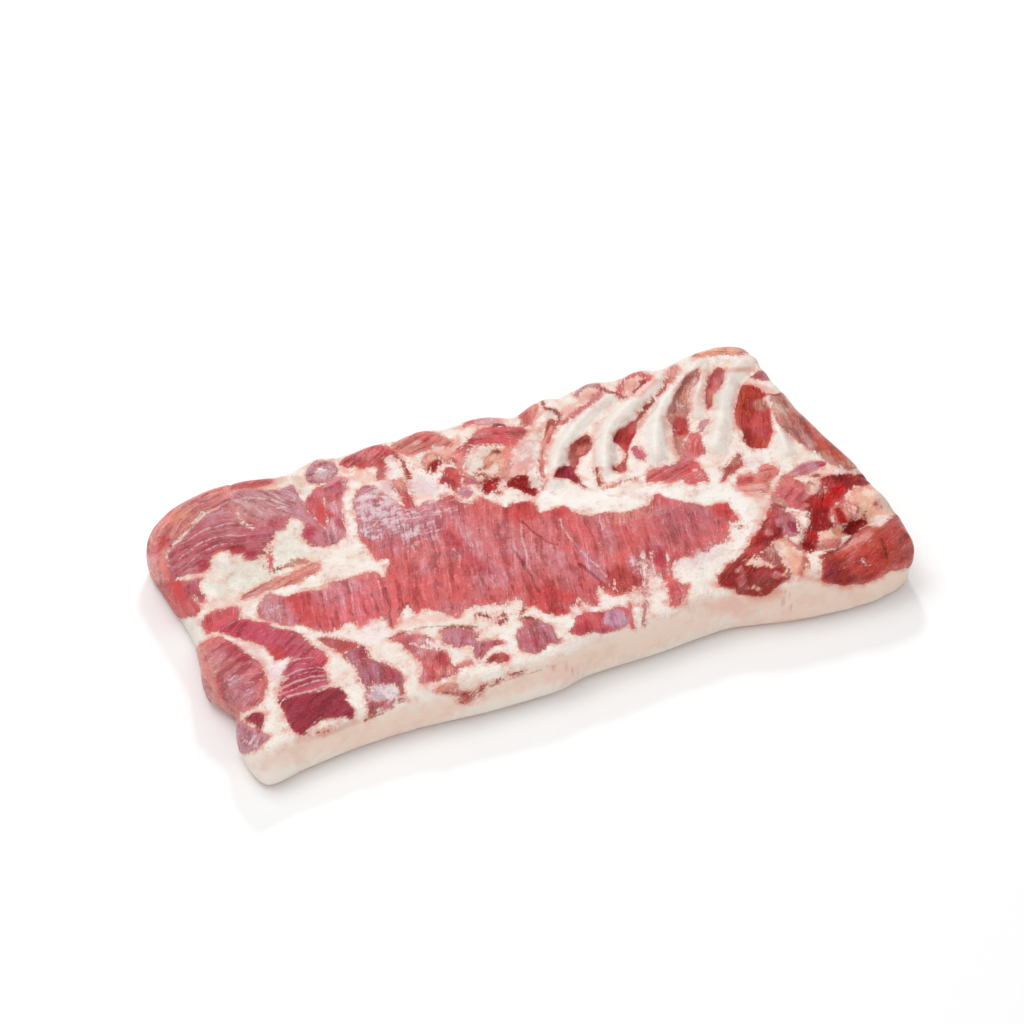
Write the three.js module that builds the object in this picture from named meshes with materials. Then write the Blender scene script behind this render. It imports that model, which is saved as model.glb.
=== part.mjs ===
// Raw pork belly slab, lean side up: one piece of flesh on its own layer of fat.
// Millimetres, +Z up. The origin is the middle of the footprint, on the resting face.
// +X runs to the shoulder end, +Y to the rib edge, and the trimmed fat edge faces -Y.
import * as THREE from "three";
import { mergeVertices } from "three/addons/utils/BufferGeometryUtils.js";

// --- driving sizes ---------------------------------------------------------
const LENGTH = 558; // along X, over the widest bulges
const WIDTH = 308; // along Y, over the widest bulges
const THICKNESS = { frontLeft: 40, frontRight: 49, backRight: 45, backLeft: 41 };
const CROWN = 2; // how much the middle stands above the corners
const EDGE_ROUND = { front: 11, right: 13, back: 12, left: 12 };
const SHOULDER_ROUND = 24; // the front edge's rounding where it rolls over at the shoulder end
const SHOULDER_FROM = { start: 0.8, full: 0.9 }; // where that rounding sets in, as shares of LENGTH
const EDGE_DEPTH = 1.15; // how far the roundings reach down, as a share of how far they reach in
const BOTTOM_ROUND = 8;
const WALL_BULGE = 2.2; // the walls' belly at mid height
const BACK_SLOPE = 13; // how far the rib edge's cut runs out at its foot

// Grid over the top, and the rows down the walls
const ALONG = 84;
const ACROSS = 44;
const TOP_ROUND_ANGLES = [64, 38, 14]; // degrees above the horizon, from the top down
const FOOT_ROUND_ANGLES = [14, 48, 90]; // degrees below it, down to the resting face

// Plan outline at its widest, each side from its own corner on, anticlockwise.
const OUTLINE = {
  front: [
    [-267, -141], [-234, -137.5], [-190, -133.5], [-149, -134], [-95, -139.5], [-36, -141.5],
    [-6, -136.5], [50, -136.5], [112, -134.5], [140, -140.5], [168, -147.5], [205, -152.5],
    [242, -152],
  ],
  right: [[267.5, -141.5], [273.5, -122], [274.5, -85], [275, -50], [268, -5], [260, 50], [261.5, 95]],
  back: [
    [255, 123], [228.5, 136.5], [205, 137.5], [180, 129.5], [157, 133.5], [137, 132.5],
    [114, 137.5], [92, 132.5], [72, 134], [44, 126.5], [14, 138], [-8, 137], [-34, 137],
    [-62, 133.5], [-82, 136.5], [-103, 136], [-126, 139], [-152, 133.5], [-180, 140],
    [-212, 140.5],
  ],
  left: [
    [-250, 127.5], [-273, 108], [-274, 74], [-270, 28], [-270.8, 2], [-274.5, -22],
    [-278.5, -44], [-266.7, -73], [-274.7, -110],
  ],
};

// Rib bars: the ridges left standing where the ribs were pulled, half width and height.
const RIB_BARS = [
  { line: [[30, 42], [36, 76], [52, 97], [72, 112]], half: 8, high: 3 },
  { line: [[40, 32], [50, 52], [64, 70], [84, 87], [104, 99], [128, 110]], half: 10, high: 5 },
  { line: [[82, 28], [93, 52], [106, 71], [124, 86], [146, 97], [170, 110]], half: 11, high: 5.5 },
  { line: [[126, 24], [136, 46], [147, 66], [162, 83], [184, 99], [212, 118]], half: 12, high: 5.5 },
  { line: [[178, 56], [190, 80], [204, 100], [214, 112]], half: 6.5, high: 3 },
  { line: [[176, 16], [194, 42], [210, 68], [230, 92], [246, 104]], half: 13, high: 6 },
  { line: [[226, -12], [232, 16], [244, 42], [250, 64]], half: 9, high: 4 },
];

// Hollows: between the bars, and where the shoulder end is cut deep.
const HOLLOWS = [
  { line: [[52, 36], [66, 53], [82, 68]], half: 9, deep: 3.5 },
  { line: [[93, 26], [104, 44], [113, 58], [130, 72], [150, 84]], half: 9, deep: 4.5 },
  { line: [[152, 28], [161, 54], [177, 78], [196, 98]], half: 9, deep: 3 },
  { line: [[197, 66], [211, 88], [222, 100]], half: 8, deep: 3 },
  { line: [[211, 12], [221, 38], [236, 68]], half: 14, deep: 4.5 },
  { line: [[-12, 54], [16, 46], [24, 34]], half: 9, deep: 3.5 },
  { line: [[196, -104], [212, -90], [232, -66], [262, -54]], half: 9, deep: 4.5 },
  { line: [[222, -108], [246, -104]], half: 9, deep: 9 },
  { line: [[186, -113], [202, -120], [222, -119]], half: 7, deep: 5 },
  { line: [[-146, 104], [-143, 66]], half: 9, deep: 3 },
  { line: [[-262, 88], [-240, 108], [-208, 122]], half: 8, deep: 2.5 },
];

// Muscles and lumps that swell up: centre, radii along X and Y, turn in degrees, and height.
const SWELLINGS = [
  { at: [0, -30], radii: [165, 62], turn: -6, high: 2.8 }, // the long middle muscle
  { at: [-212, 84], radii: [62, 42], turn: 18, high: 2.6 }, // the flank end's muscles
  { at: [-257, -66], radii: [21, 46], turn: 8, high: 2.2 },
  { at: [-219, -62], radii: [22, 52], turn: 12, high: 2.2 },
  { at: [-172, -100], radii: [14, 34], turn: -8, high: 1.6 },
  { at: [-121, -102], radii: [19, 28], turn: -6, high: 1.6 },
  { at: [-40, -116], radii: [20, 17], turn: 0, high: 1.4 },
  { at: [236, -134], radii: [42, 20], turn: 8, high: 4 }, // the shoulder end's muscles
  { at: [256, -86], radii: [20, 20], turn: 0, high: 4 },
  { at: [216, -52], radii: [20, 22], turn: 30, high: 3 },
  { at: [150, -104], radii: [40, 17], turn: 32, high: 3 },
  { at: [-124, 122], radii: [15, 13], turn: 0, high: 4 }, // the lumps along the rib edge
  { at: [-75, 124], radii: [24, 12], turn: 0, high: 3 },
  { at: [-35, 122], radii: [22, 13], turn: 0, high: 3.5 },
  { at: [14, 118], radii: [26, 14], turn: -8, high: 3.5 },
  { at: [70, 118], radii: [15, 12], turn: 30, high: 3 },
  { at: [114, 122], radii: [15, 10], turn: 20, high: 3 },
  { at: [156, 120], radii: [16, 10], turn: 10, high: 3 },
  { at: [236, 118], radii: [26, 12], turn: -12, high: 3 },
];

// The unevenness of soft flesh, in two sizes of lump.
const LUMPS = [
  { cell: 64, high: 2.2 },
  { cell: 29, high: 1.1 },
];

// --- small helpers ---------------------------------------------------------
const mix = THREE.MathUtils.lerp;
const smooth = (t) => THREE.MathUtils.smoothstep(t, 0, 1);
const radians = THREE.MathUtils.degToRad;

function distanceToLine(x, y, line) {
  let nearest = Infinity;
  for (let k = 1; k < line.length; k++) {
    const [ax, ay] = line[k - 1];
    const [dx, dy] = [line[k][0] - ax, line[k][1] - ay];
    const share = THREE.MathUtils.clamp(((x - ax) * dx + (y - ay) * dy) / (dx * dx + dy * dy), 0, 1);
    nearest = Math.min(nearest, Math.hypot(x - ax - share * dx, y - ay - share * dy));
  }
  return nearest;
}

// 1 on the line, falling in a round hump to 0 at the half width.
const hump = (distance, half) => (distance < half ? Math.cos((distance / half) * (Math.PI / 2)) ** 2 : 0);

// A repeatable random number from 0 to 1 for each lattice point.
function lattice(i, j) {
  const scattered = Math.sin(i * 127.1 + j * 311.7) * 43758.5453;
  return scattered - Math.floor(scattered);
}

// Smooth noise from -1 to 1 between the lattice points.
function noise(x, y) {
  const [i, j] = [Math.floor(x), Math.floor(y)];
  const [u, v] = [smooth(x - i), smooth(y - j)];
  const near = mix(lattice(i, j), lattice(i + 1, j), u);
  const far = mix(lattice(i, j + 1), lattice(i + 1, j + 1), u);
  return 2 * mix(near, far, v) - 1;
}

// --- the plan --------------------------------------------------------------
const SIDES = ["front", "right", "back", "left"];
const outlineCurve = new THREE.CatmullRomCurve3(
  SIDES.flatMap((side) => OUTLINE[side]).map(([x, y]) => new THREE.Vector3(x, y, 0)),
  true,
  "centripetal",
);

// One side of the outline as a function of the share of its length, 0 to 1.
function sideCurve(side) {
  const counts = SIDES.map((name) => OUTLINE[name].length);
  const first = counts.slice(0, SIDES.indexOf(side)).reduce((sum, n) => sum + n, 0);
  const total = counts.reduce((sum, n) => sum + n, 0);
  const STEPS = 400;
  const samples = Array.from({ length: STEPS + 1 }, (_, k) =>
    outlineCurve.getPoint((first + (OUTLINE[side].length * k) / STEPS) / total),
  );
  const lengths = [0];
  for (let k = 1; k <= STEPS; k++) lengths.push(lengths[k - 1] + samples[k].distanceTo(samples[k - 1]));
  return (share) => {
    const wanted = THREE.MathUtils.clamp(share, 0, 1) * lengths[STEPS];
    let k = 1;
    while (k < STEPS && lengths[k] < wanted) k++;
    return samples[k - 1].clone().lerp(samples[k], (wanted - lengths[k - 1]) / (lengths[k] - lengths[k - 1]));
  };
}

const frontSide = sideCurve("front");
const rightSide = sideCurve("right");
const backFromRight = sideCurve("back");
const leftFromBack = sideCurve("left");
const backSide = (share) => backFromRight(1 - share);
const leftSide = (share) => leftFromBack(1 - share);

// A Coons patch over the four sides: s along X and t along Y, both 0 to 1.
function planPoint(s, t) {
  const point = frontSide(s).multiplyScalar(1 - t);
  point.addScaledVector(backSide(s), t);
  point.addScaledVector(leftSide(t), 1 - s);
  point.addScaledVector(rightSide(t), s);
  point.addScaledVector(frontSide(0), -(1 - s) * (1 - t));
  point.addScaledVector(frontSide(1), -s * (1 - t));
  point.addScaledVector(backSide(0), -(1 - s) * t);
  point.addScaledVector(backSide(1), -s * t);
  return point;
}

// How far in the front edge's rounding reaches.
function frontRound(s) {
  const { start, full } = SHOULDER_FROM;
  return mix(EDGE_ROUND.front, SHOULDER_ROUND, smooth((s - start) / (full - start)));
}

// --- the height of the top -------------------------------------------------
function thicknessAt(s, t) {
  const front = mix(THICKNESS.frontLeft, THICKNESS.frontRight, smooth(s));
  const back = mix(THICKNESS.backLeft, THICKNESS.backRight, smooth(s));
  return mix(front, back, t) + CROWN * 16 * s * (1 - s) * t * (1 - t);
}

function swelling(x, y, { at, radii, turn, high }) {
  const [cos, sin] = [Math.cos(radians(turn)), Math.sin(radians(turn))];
  const [dx, dy] = [x - at[0], y - at[1]];
  const along = (dx * cos + dy * sin) / radii[0];
  const across = (dy * cos - dx * sin) / radii[1];
  return high * smooth(1.5 * (1 - Math.hypot(along, across)));
}

function relief(x, y) {
  const bars = RIB_BARS.map(({ line, half, high }) => high * hump(distanceToLine(x, y, line), half));
  let height = Math.max(...bars);
  for (const { line, half, deep } of HOLLOWS) height -= deep * hump(distanceToLine(x, y, line), half);
  for (const swell of SWELLINGS) height += swelling(x, y, swell);
  for (const { cell, high } of LUMPS) height += high * noise(x / cell, y / cell);
  return height;
}

// --- the slab --------------------------------------------------------------
function slabGeometry() {
  const positions = [];
  const faces = [];
  const addVertex = (x, y, z) => positions.push(x, y, z) / 3 - 1;
  const addQuad = (a, b, c, d) => faces.push(a, b, c, a, c, d);

  // Top: a grid that stops where the rounding of the edges starts.
  const grid = [];
  for (let j = 0; j <= ACROSS; j++) {
    grid.push([]);
    for (let i = 0; i <= ALONG; i++) {
      const along = i / ALONG;
      const across = j / ACROSS;
      const s = mix(EDGE_ROUND.left / LENGTH, 1 - EDGE_ROUND.right / LENGTH, along);
      const t = mix(frontRound(along) / WIDTH, 1 - EDGE_ROUND.back / WIDTH, across);
      const { x, y } = planPoint(s, t);
      const index = addVertex(x, y, thicknessAt(s, t) + relief(x, y));
      grid[j].push({ index, rim: planPoint(along, across) });
    }
  }
  for (let j = 0; j < ACROSS; j++) {
    for (let i = 0; i < ALONG; i++) {
      addQuad(grid[j][i].index, grid[j][i + 1].index, grid[j + 1][i + 1].index, grid[j + 1][i].index);
    }
  }

  // The grid's border, anticlockwise, and from it the rows down the walls.
  const border = [
    ...grid[0].slice(0, ALONG),
    ...grid.slice(0, ACROSS).map((row) => row[ALONG]),
    ...grid[ACROSS].slice(1).reverse(),
    ...grid.slice(1).map((row) => row[0]).reverse(),
  ];
  const columns = border.map(({ index, rim }) => {
    const [x, y, top] = positions.slice(3 * index, 3 * index + 3);
    const outward = rim.clone().sub(new THREE.Vector3(x, y, 0));
    const reach = outward.length();
    outward.normalize();
    const drop = Math.min(0.6 * top, EDGE_DEPTH * reach);
    const addRow = (out, z) => {
      const share = THREE.MathUtils.clamp(z / top, 0, 1);
      const slope = BACK_SLOPE * Math.max(0, outward.y) ** 2 * (1 - share);
      const belly = WALL_BULGE * Math.sin(Math.PI * share) * smooth(out / reach);
      const far = out + slope + belly;
      return addVertex(x + outward.x * far, y + outward.y * far, z);
    };
    const rounded = TOP_ROUND_ANGLES.map((angle) =>
      addRow(reach * Math.cos(radians(angle)), top - drop * (1 - Math.sin(radians(angle)))),
    );
    const middle = addRow(reach, mix(BOTTOM_ROUND, top - drop, 0.5));
    const foot = FOOT_ROUND_ANGLES.map((angle) =>
      addRow(
        reach - BOTTOM_ROUND * (1 - Math.cos(radians(angle))),
        BOTTOM_ROUND * (1 - Math.sin(radians(angle))),
      ),
    );
    return [index, ...rounded, middle, ...foot];
  });
  columns.forEach((column, n) => {
    const next = columns[(n + 1) % columns.length];
    for (let k = 1; k < column.length; k++) addQuad(column[k - 1], column[k], next[k], next[k - 1]);
  });

  // The flat resting face closes the last row.
  const foot = columns.map((column) => column.at(-1));
  const flat = foot.map((v) => new THREE.Vector2(positions[3 * v], positions[3 * v + 1]));
  for (const [a, b, c] of THREE.ShapeUtils.triangulateShape(flat, [])) faces.push(foot[a], foot[c], foot[b]);

  const geometry = new THREE.BufferGeometry();
  geometry.setAttribute("position", new THREE.Float32BufferAttribute(positions, 3));
  geometry.setIndex(faces);
  return geometry;
}

// Brings the footprint to its length and width and centres it on the origin.
function fitted(geometry) {
  geometry.computeBoundingBox();
  const { min, max } = geometry.boundingBox;
  geometry.translate(-(min.x + max.x) / 2, -(min.y + max.y) / 2, -min.z);
  geometry.scale(LENGTH / (max.x - min.x), WIDTH / (max.y - min.y), 1);
  const merged = mergeVertices(geometry);
  merged.computeVertexNormals();
  return merged;
}

const flesh = new THREE.MeshStandardMaterial({ color: 0xc9676b, roughness: 0.45, metalness: 0 });

const belly = new THREE.Mesh(fitted(slabGeometry()), flesh);
belly.name = "belly_slab";

const slab = new THREE.Group();
slab.add(belly);

export default slab;
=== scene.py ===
"""Raw pork belly slab, lean side up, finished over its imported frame."""

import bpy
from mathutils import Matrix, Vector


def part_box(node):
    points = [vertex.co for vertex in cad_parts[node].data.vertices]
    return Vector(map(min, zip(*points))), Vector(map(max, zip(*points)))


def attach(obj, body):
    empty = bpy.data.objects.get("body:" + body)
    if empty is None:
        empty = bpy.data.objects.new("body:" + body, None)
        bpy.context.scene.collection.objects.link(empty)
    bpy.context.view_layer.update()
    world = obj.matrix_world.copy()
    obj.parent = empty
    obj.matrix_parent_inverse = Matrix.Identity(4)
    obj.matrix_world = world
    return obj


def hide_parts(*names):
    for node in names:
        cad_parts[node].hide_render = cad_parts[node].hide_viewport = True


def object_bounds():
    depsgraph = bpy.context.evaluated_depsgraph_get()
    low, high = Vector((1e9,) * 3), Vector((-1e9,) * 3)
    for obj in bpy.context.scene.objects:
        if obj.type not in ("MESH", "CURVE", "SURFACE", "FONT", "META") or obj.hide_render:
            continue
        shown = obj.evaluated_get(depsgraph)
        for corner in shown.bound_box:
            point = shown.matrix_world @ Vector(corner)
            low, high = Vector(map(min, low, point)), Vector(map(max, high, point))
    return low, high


bl_info = {
    "name": "Pork Belly Slab",
    "version": (1, 0, 0),
    "blender": (4, 5, 0),
    "location": "View3D > Sidebar > Pork Belly",
    "description": "Models and finishes a raw pork belly slab and lights it on a pale floor",
    "category": "Object",
}

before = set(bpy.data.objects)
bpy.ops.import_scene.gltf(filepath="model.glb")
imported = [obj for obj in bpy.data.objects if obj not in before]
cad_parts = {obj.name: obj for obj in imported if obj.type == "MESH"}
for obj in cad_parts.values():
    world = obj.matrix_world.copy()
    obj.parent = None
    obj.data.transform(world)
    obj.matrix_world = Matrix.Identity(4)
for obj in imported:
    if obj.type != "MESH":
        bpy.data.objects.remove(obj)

import math
from collections import namedtuple

import bpy
import numpy as np
from mathutils import Vector

CAD_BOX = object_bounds()
NODE = "belly_slab"
PIECE = "belly_flesh"
MM = 0.001

# --- the slab's form, in millimetres, as the frame has it --------------------------------

# Plan outline at its widest, each side from its own corner on, anticlockwise.
OUTLINE = {
    "front": [
        (-267, -141), (-234, -137.5), (-190, -133.5), (-149, -134), (-95, -139.5),
        (-36, -141.5), (-6, -136.5), (50, -136.5), (112, -134.5), (140, -140.5), (168, -147.5),
        (205, -152.5), (242, -152),
    ],
    "right": [
        (267.5, -141.5), (273.5, -122), (274.5, -85), (275, -50), (268, -5), (260, 50),
        (261.5, 95),
    ],
    "back": [
        (255, 123), (228.5, 136.5), (205, 137.5), (180, 129.5), (157, 133.5), (137, 132.5),
        (114, 137.5), (92, 132.5), (72, 134), (44, 126.5), (14, 138), (-8, 137), (-34, 137),
        (-62, 133.5), (-82, 136.5), (-103, 136), (-126, 139), (-152, 133.5), (-180, 140),
        (-212, 140.5),
    ],
    "left": [
        (-250, 127.5), (-273, 108), (-274, 74), (-270, 28), (-270.8, 2), (-274.5, -22),
        (-278.5, -44), (-266.7, -73), (-274.7, -110),
    ],
}

THICKNESS = {"front_left": 40, "front_right": 49, "back_right": 45, "back_left": 41}
CROWN = 2
EDGE_ROUND = {"front": 11, "right": 13, "back": 12, "left": 12}
SHOULDER_ROUND = 24  # the front edge's at the shoulder end
SHOULDER_FROM = (0.8, 0.9)  # shares of the length where it begins and is full
EDGE_DEPTH = 1.15  # how deep an edge's rounding is for its width
EDGE_DROP = 0.6  # and the share of the thickness that it may take
BOTTOM_ROUND = 8
WALL_BULGE = 2.2
BACK_SLOPE = 13  # how far out the back wall runs towards its foot

Ridge = namedtuple("Ridge", "line half high")
Swelling = namedtuple("Swelling", "at radii turn high")
SWELLING_RISE = 1.5  # how soon a swelling is at its full height, from its rim inwards

RIB_BARS = [
    Ridge([(30, 42), (36, 76), (52, 97), (72, 112)], 8, 3),
    Ridge([(40, 32), (50, 52), (64, 70), (84, 87), (104, 99), (128, 110)], 10, 5),
    Ridge([(82, 28), (93, 52), (106, 71), (124, 86), (146, 97), (170, 110)], 11, 5.5),
    Ridge([(126, 24), (136, 46), (147, 66), (162, 83), (184, 99), (212, 118)], 12, 5.5),
    Ridge([(178, 56), (190, 80), (204, 100), (214, 112)], 6.5, 3),
    Ridge([(176, 16), (194, 42), (210, 68), (230, 92), (246, 104)], 13, 6),
    Ridge([(226, -12), (232, 16), (244, 42), (250, 64)], 9, 4),
]

HOLLOWS = [
    Ridge([(52, 36), (66, 53), (82, 68)], 9, 3.5),
    Ridge([(93, 26), (104, 44), (113, 58), (130, 72), (150, 84)], 9, 4.5),
    Ridge([(152, 28), (161, 54), (177, 78), (196, 98)], 9, 3),
    Ridge([(197, 66), (211, 88), (222, 100)], 8, 3),
    Ridge([(211, 12), (221, 38), (236, 68)], 14, 4.5),
    Ridge([(-12, 54), (16, 46), (24, 34)], 9, 3.5),
    Ridge([(196, -104), (212, -90), (232, -66), (262, -54)], 9, 4.5),
    Ridge([(222, -108), (246, -104)], 9, 9),
    Ridge([(186, -113), (202, -120), (222, -119)], 7, 5),
    Ridge([(-146, 104), (-143, 66)], 9, 3),
    Ridge([(-262, 88), (-240, 108), (-208, 122)], 8, 2.5),
]

SWELLINGS = [
    Swelling((0, -30), (165, 62), -6, 2.8),
    Swelling((-212, 84), (62, 42), 18, 2.6),
    Swelling((-257, -66), (21, 46), 8, 2.2),
    Swelling((-219, -62), (22, 52), 12, 2.2),
    Swelling((-172, -100), (14, 34), -8, 1.6),
    Swelling((-121, -102), (19, 28), -6, 1.6),
    Swelling((-40, -116), (20, 17), 0, 1.4),
    Swelling((236, -134), (42, 20), 8, 4),
    Swelling((256, -86), (20, 20), 0, 4),
    Swelling((216, -52), (20, 22), 30, 3),
    Swelling((150, -104), (40, 17), 32, 3),
    Swelling((-124, 122), (15, 13), 0, 4),
    Swelling((-75, 124), (24, 12), 0, 3),
    Swelling((-35, 122), (22, 13), 0, 3.5),
    Swelling((14, 118), (26, 14), -8, 3.5),
    Swelling((70, 118), (15, 12), 30, 3),
    Swelling((114, 122), (15, 10), 20, 3),
    Swelling((156, 120), (16, 10), 10, 3),
    Swelling((236, 118), (26, 12), -12, 3),
]

LUMPS = [(64, 2.2), (29, 1.1)]  # (cell, height)

# Rows of the skinned mesh
ALONG = 372
ACROSS = 200
TOP_ROUND_ANGLES = (78, 66, 54, 42, 30, 18, 6)
WALL_SHARES = (0.75, 0.5, 0.25)
FOOT_ROUND_ANGLES = (8, 32, 60, 90)
FOOT_INSET = 5
WALL_ROWS = len(TOP_ROUND_ANGLES) + len(WALL_SHARES) + len(FOOT_ROUND_ANGLES) + 1

# --- the flesh, drawn on a sheet that is cast on to the slab ------------------------------

# The sheet lies level at this height, and each point of the slab takes the flesh that the
# sheet has where a line from the eye to that point crosses it, so one drawing covers the top
# and unrolls down the front and the flank end.
SHEET_HEIGHT = 41
SHEET_EYE = (-597.1, -1337.4, 1421.1)

# A patch's grain is the angle of its fibres or the centre that they run round, and fat has
# none. Its puff is how far the lean stands out.
Patch = namedtuple("Patch", "tissue tint grain puff outline")
Strand = namedtuple("Strand", "tissue tint half line")
Wash = namedtuple("Wash", "tissue tint half strength line")

# Colours of the flesh, as they look in white light.
TINTS = {
    "rose": (0.83, 0.395, 0.395),
    "deep rose": (0.76, 0.29, 0.36),
    "scarlet": (0.79, 0.27, 0.27),
    "cherry": (0.80, 0.34, 0.36),
    "crimson": (0.70, 0.20, 0.26),
    "plum": (0.74, 0.38, 0.41),
    "mauve": (0.76, 0.50, 0.54),
    "wine": (0.60, 0.16, 0.23),
    "brick": (0.72, 0.27, 0.25),
    "meat": (0.74, 0.25, 0.18),
    "rust": (0.68, 0.30, 0.27),
    "terracotta": (0.84, 0.52, 0.44),
    "coral": (0.86, 0.52, 0.48),
    "salmon": (0.85, 0.54, 0.48),
    "blush rose": (0.83, 0.55, 0.57),
    "lavender": (0.80, 0.59, 0.69),
    "umber": (0.56, 0.24, 0.20),
    "tan rose": (0.74, 0.50, 0.44),
    "blood": (0.56, 0.02, 0.03),
    "bright blood": (0.74, 0.02, 0.025),
    "pit": (0.54, 0.01, 0.012),
    "white": (0.93, 0.905, 0.875),
    "milk": (0.93, 0.92, 0.90),
    "cream": (0.83, 0.83, 0.78),
    "ivory": (0.905, 0.868, 0.83),
    "pearl": (0.91, 0.85, 0.86),
    "lilac": (0.81, 0.72, 0.77),
    "lilac film": (0.90, 0.82, 0.84),
    "lilac grey": (0.70, 0.60, 0.66),
    "blush": (0.90, 0.74, 0.69),
    "peach": (0.90, 0.67, 0.55),
    "apricot": (0.90, 0.76, 0.64),
    "thread": (0.90, 0.79, 0.78),
    "side fat": (0.905, 0.808, 0.748),
    "skin": (0.84, 0.71, 0.62),
    "warm rose": (0.84, 0.42, 0.44),
    "dusk": (0.69, 0.37, 0.41),
    "mauve film": (0.77, 0.65, 0.70),
    "dark meat": (0.56, 0.08, 0.07),
    "garnet": (0.60, 0.13, 0.10),
    "bar": (0.885, 0.86, 0.83),
    # grey of the fat, also used as painted shade on the flanks of rib bars
    "ash": (0.80, 0.76, 0.73),
}

# Muscles and patches of fat, by the part of the slab. A later one lies over an earlier one.
FLANK_END = [
    Patch("lean", "coral", (-200, 40), 1.2, [
        (-292, 10), (-294, 50), (-288, 95), (-281, 112), (-270, 122), (-255, 130), (-238, 137),
        (-215, 143), (-196, 140), (-196, 129), (-205, 122), (-222, 119), (-232, 114), (-245, 103),
        (-260, 92), (-268, 84), (-272, 66), (-273, 50), (-278, 35)]),
    Patch("lean", "brick", 15, 1.0, [
        (-198, 134), (-190, 141), (-176, 139), (-163, 134), (-166, 127), (-180, 128), (-190, 130)]),
    Patch("lean", "plum", (-225, -60), 1.4, [
        (-272, 52), (-270, 70), (-268, 82), (-258, 90), (-246, 98), (-236, 107), (-222, 114),
        (-205, 121), (-198, 124), (-190, 129), (-178, 125), (-165, 118), (-157, 117), (-152, 119),
        (-149, 110), (-150, 95), (-149, 80), (-146, 65), (-140, 52), (-138, 43), (-150, 41), (-158, 45),
        (-163, 52), (-163, 62), (-157, 72), (-160, 80), (-166, 82), (-172, 75), (-176, 73), (-180, 72),
        (-186, 64), (-193, 60), (-196, 52), (-201, 52), (-207, 50), (-213, 54), (-214, 60), (-219, 62),
        (-224, 68), (-228, 70), (-236, 66), (-241, 56), (-249, 53), (-255, 55), (-262, 55)]),
    Patch("lean", "scarlet", 80, 1.0, [
        (-290, 46), (-281, 52), (-268, 52), (-262, 47), (-264, 30), (-261, 16), (-268, 11), (-277, 10),
        (-288, 16)]),
    Patch("lean", "plum", 70, 0.2, [
        (-266, 44), (-258, 48), (-250, 46), (-255, 38), (-255, 26), (-259, 21), (-263, 30),
        (-268, 34)]),
    Patch("lean", "mauve", -58, 1.2, [
        (-200, 124), (-190, 129), (-178, 125), (-165, 118), (-157, 117), (-152, 119), (-149, 110),
        (-150, 95), (-149, 80), (-148, 66), (-156, 72), (-160, 80), (-170, 84), (-182, 84), (-190, 92),
        (-198, 104)]),
    Patch("lean", "cherry", 68, 0.4, [
        (-149, 96), (-140, 103), (-128, 110), (-124, 107), (-131, 95), (-138, 75), (-143, 60),
        (-146, 66), (-149, 80)]),
    Patch("lean", "blush rose", 72, 1.0, [
        (-127, 108), (-113, 113), (-108, 106), (-112, 98), (-120, 88), (-124, 75), (-128, 60),
        (-133, 46), (-139, 43), (-150, 42), (-147, 55), (-142, 62), (-137, 78), (-131, 95)]),
    Patch("lean", "salmon", 18, 0.6, [
        (-232, 13), (-222, 19), (-212, 21), (-200, 24), (-188, 24), (-176, 27), (-166, 28), (-163, 24),
        (-168, 18), (-180, 14), (-195, 12), (-212, 13), (-226, 11)]),
    Patch("lean", "mauve", (-124, 124), 1.5, [
        (-137, 124), (-134, 131), (-126, 137), (-116, 136), (-110, 128), (-112, 118), (-121, 112),
        (-131, 111), (-137, 116)]),
    Patch("fat", "mauve film", None, 0.8, [
        (-132, 122), (-126, 130), (-118, 127), (-116, 118), (-124, 114), (-130, 116)]),
]

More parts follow.
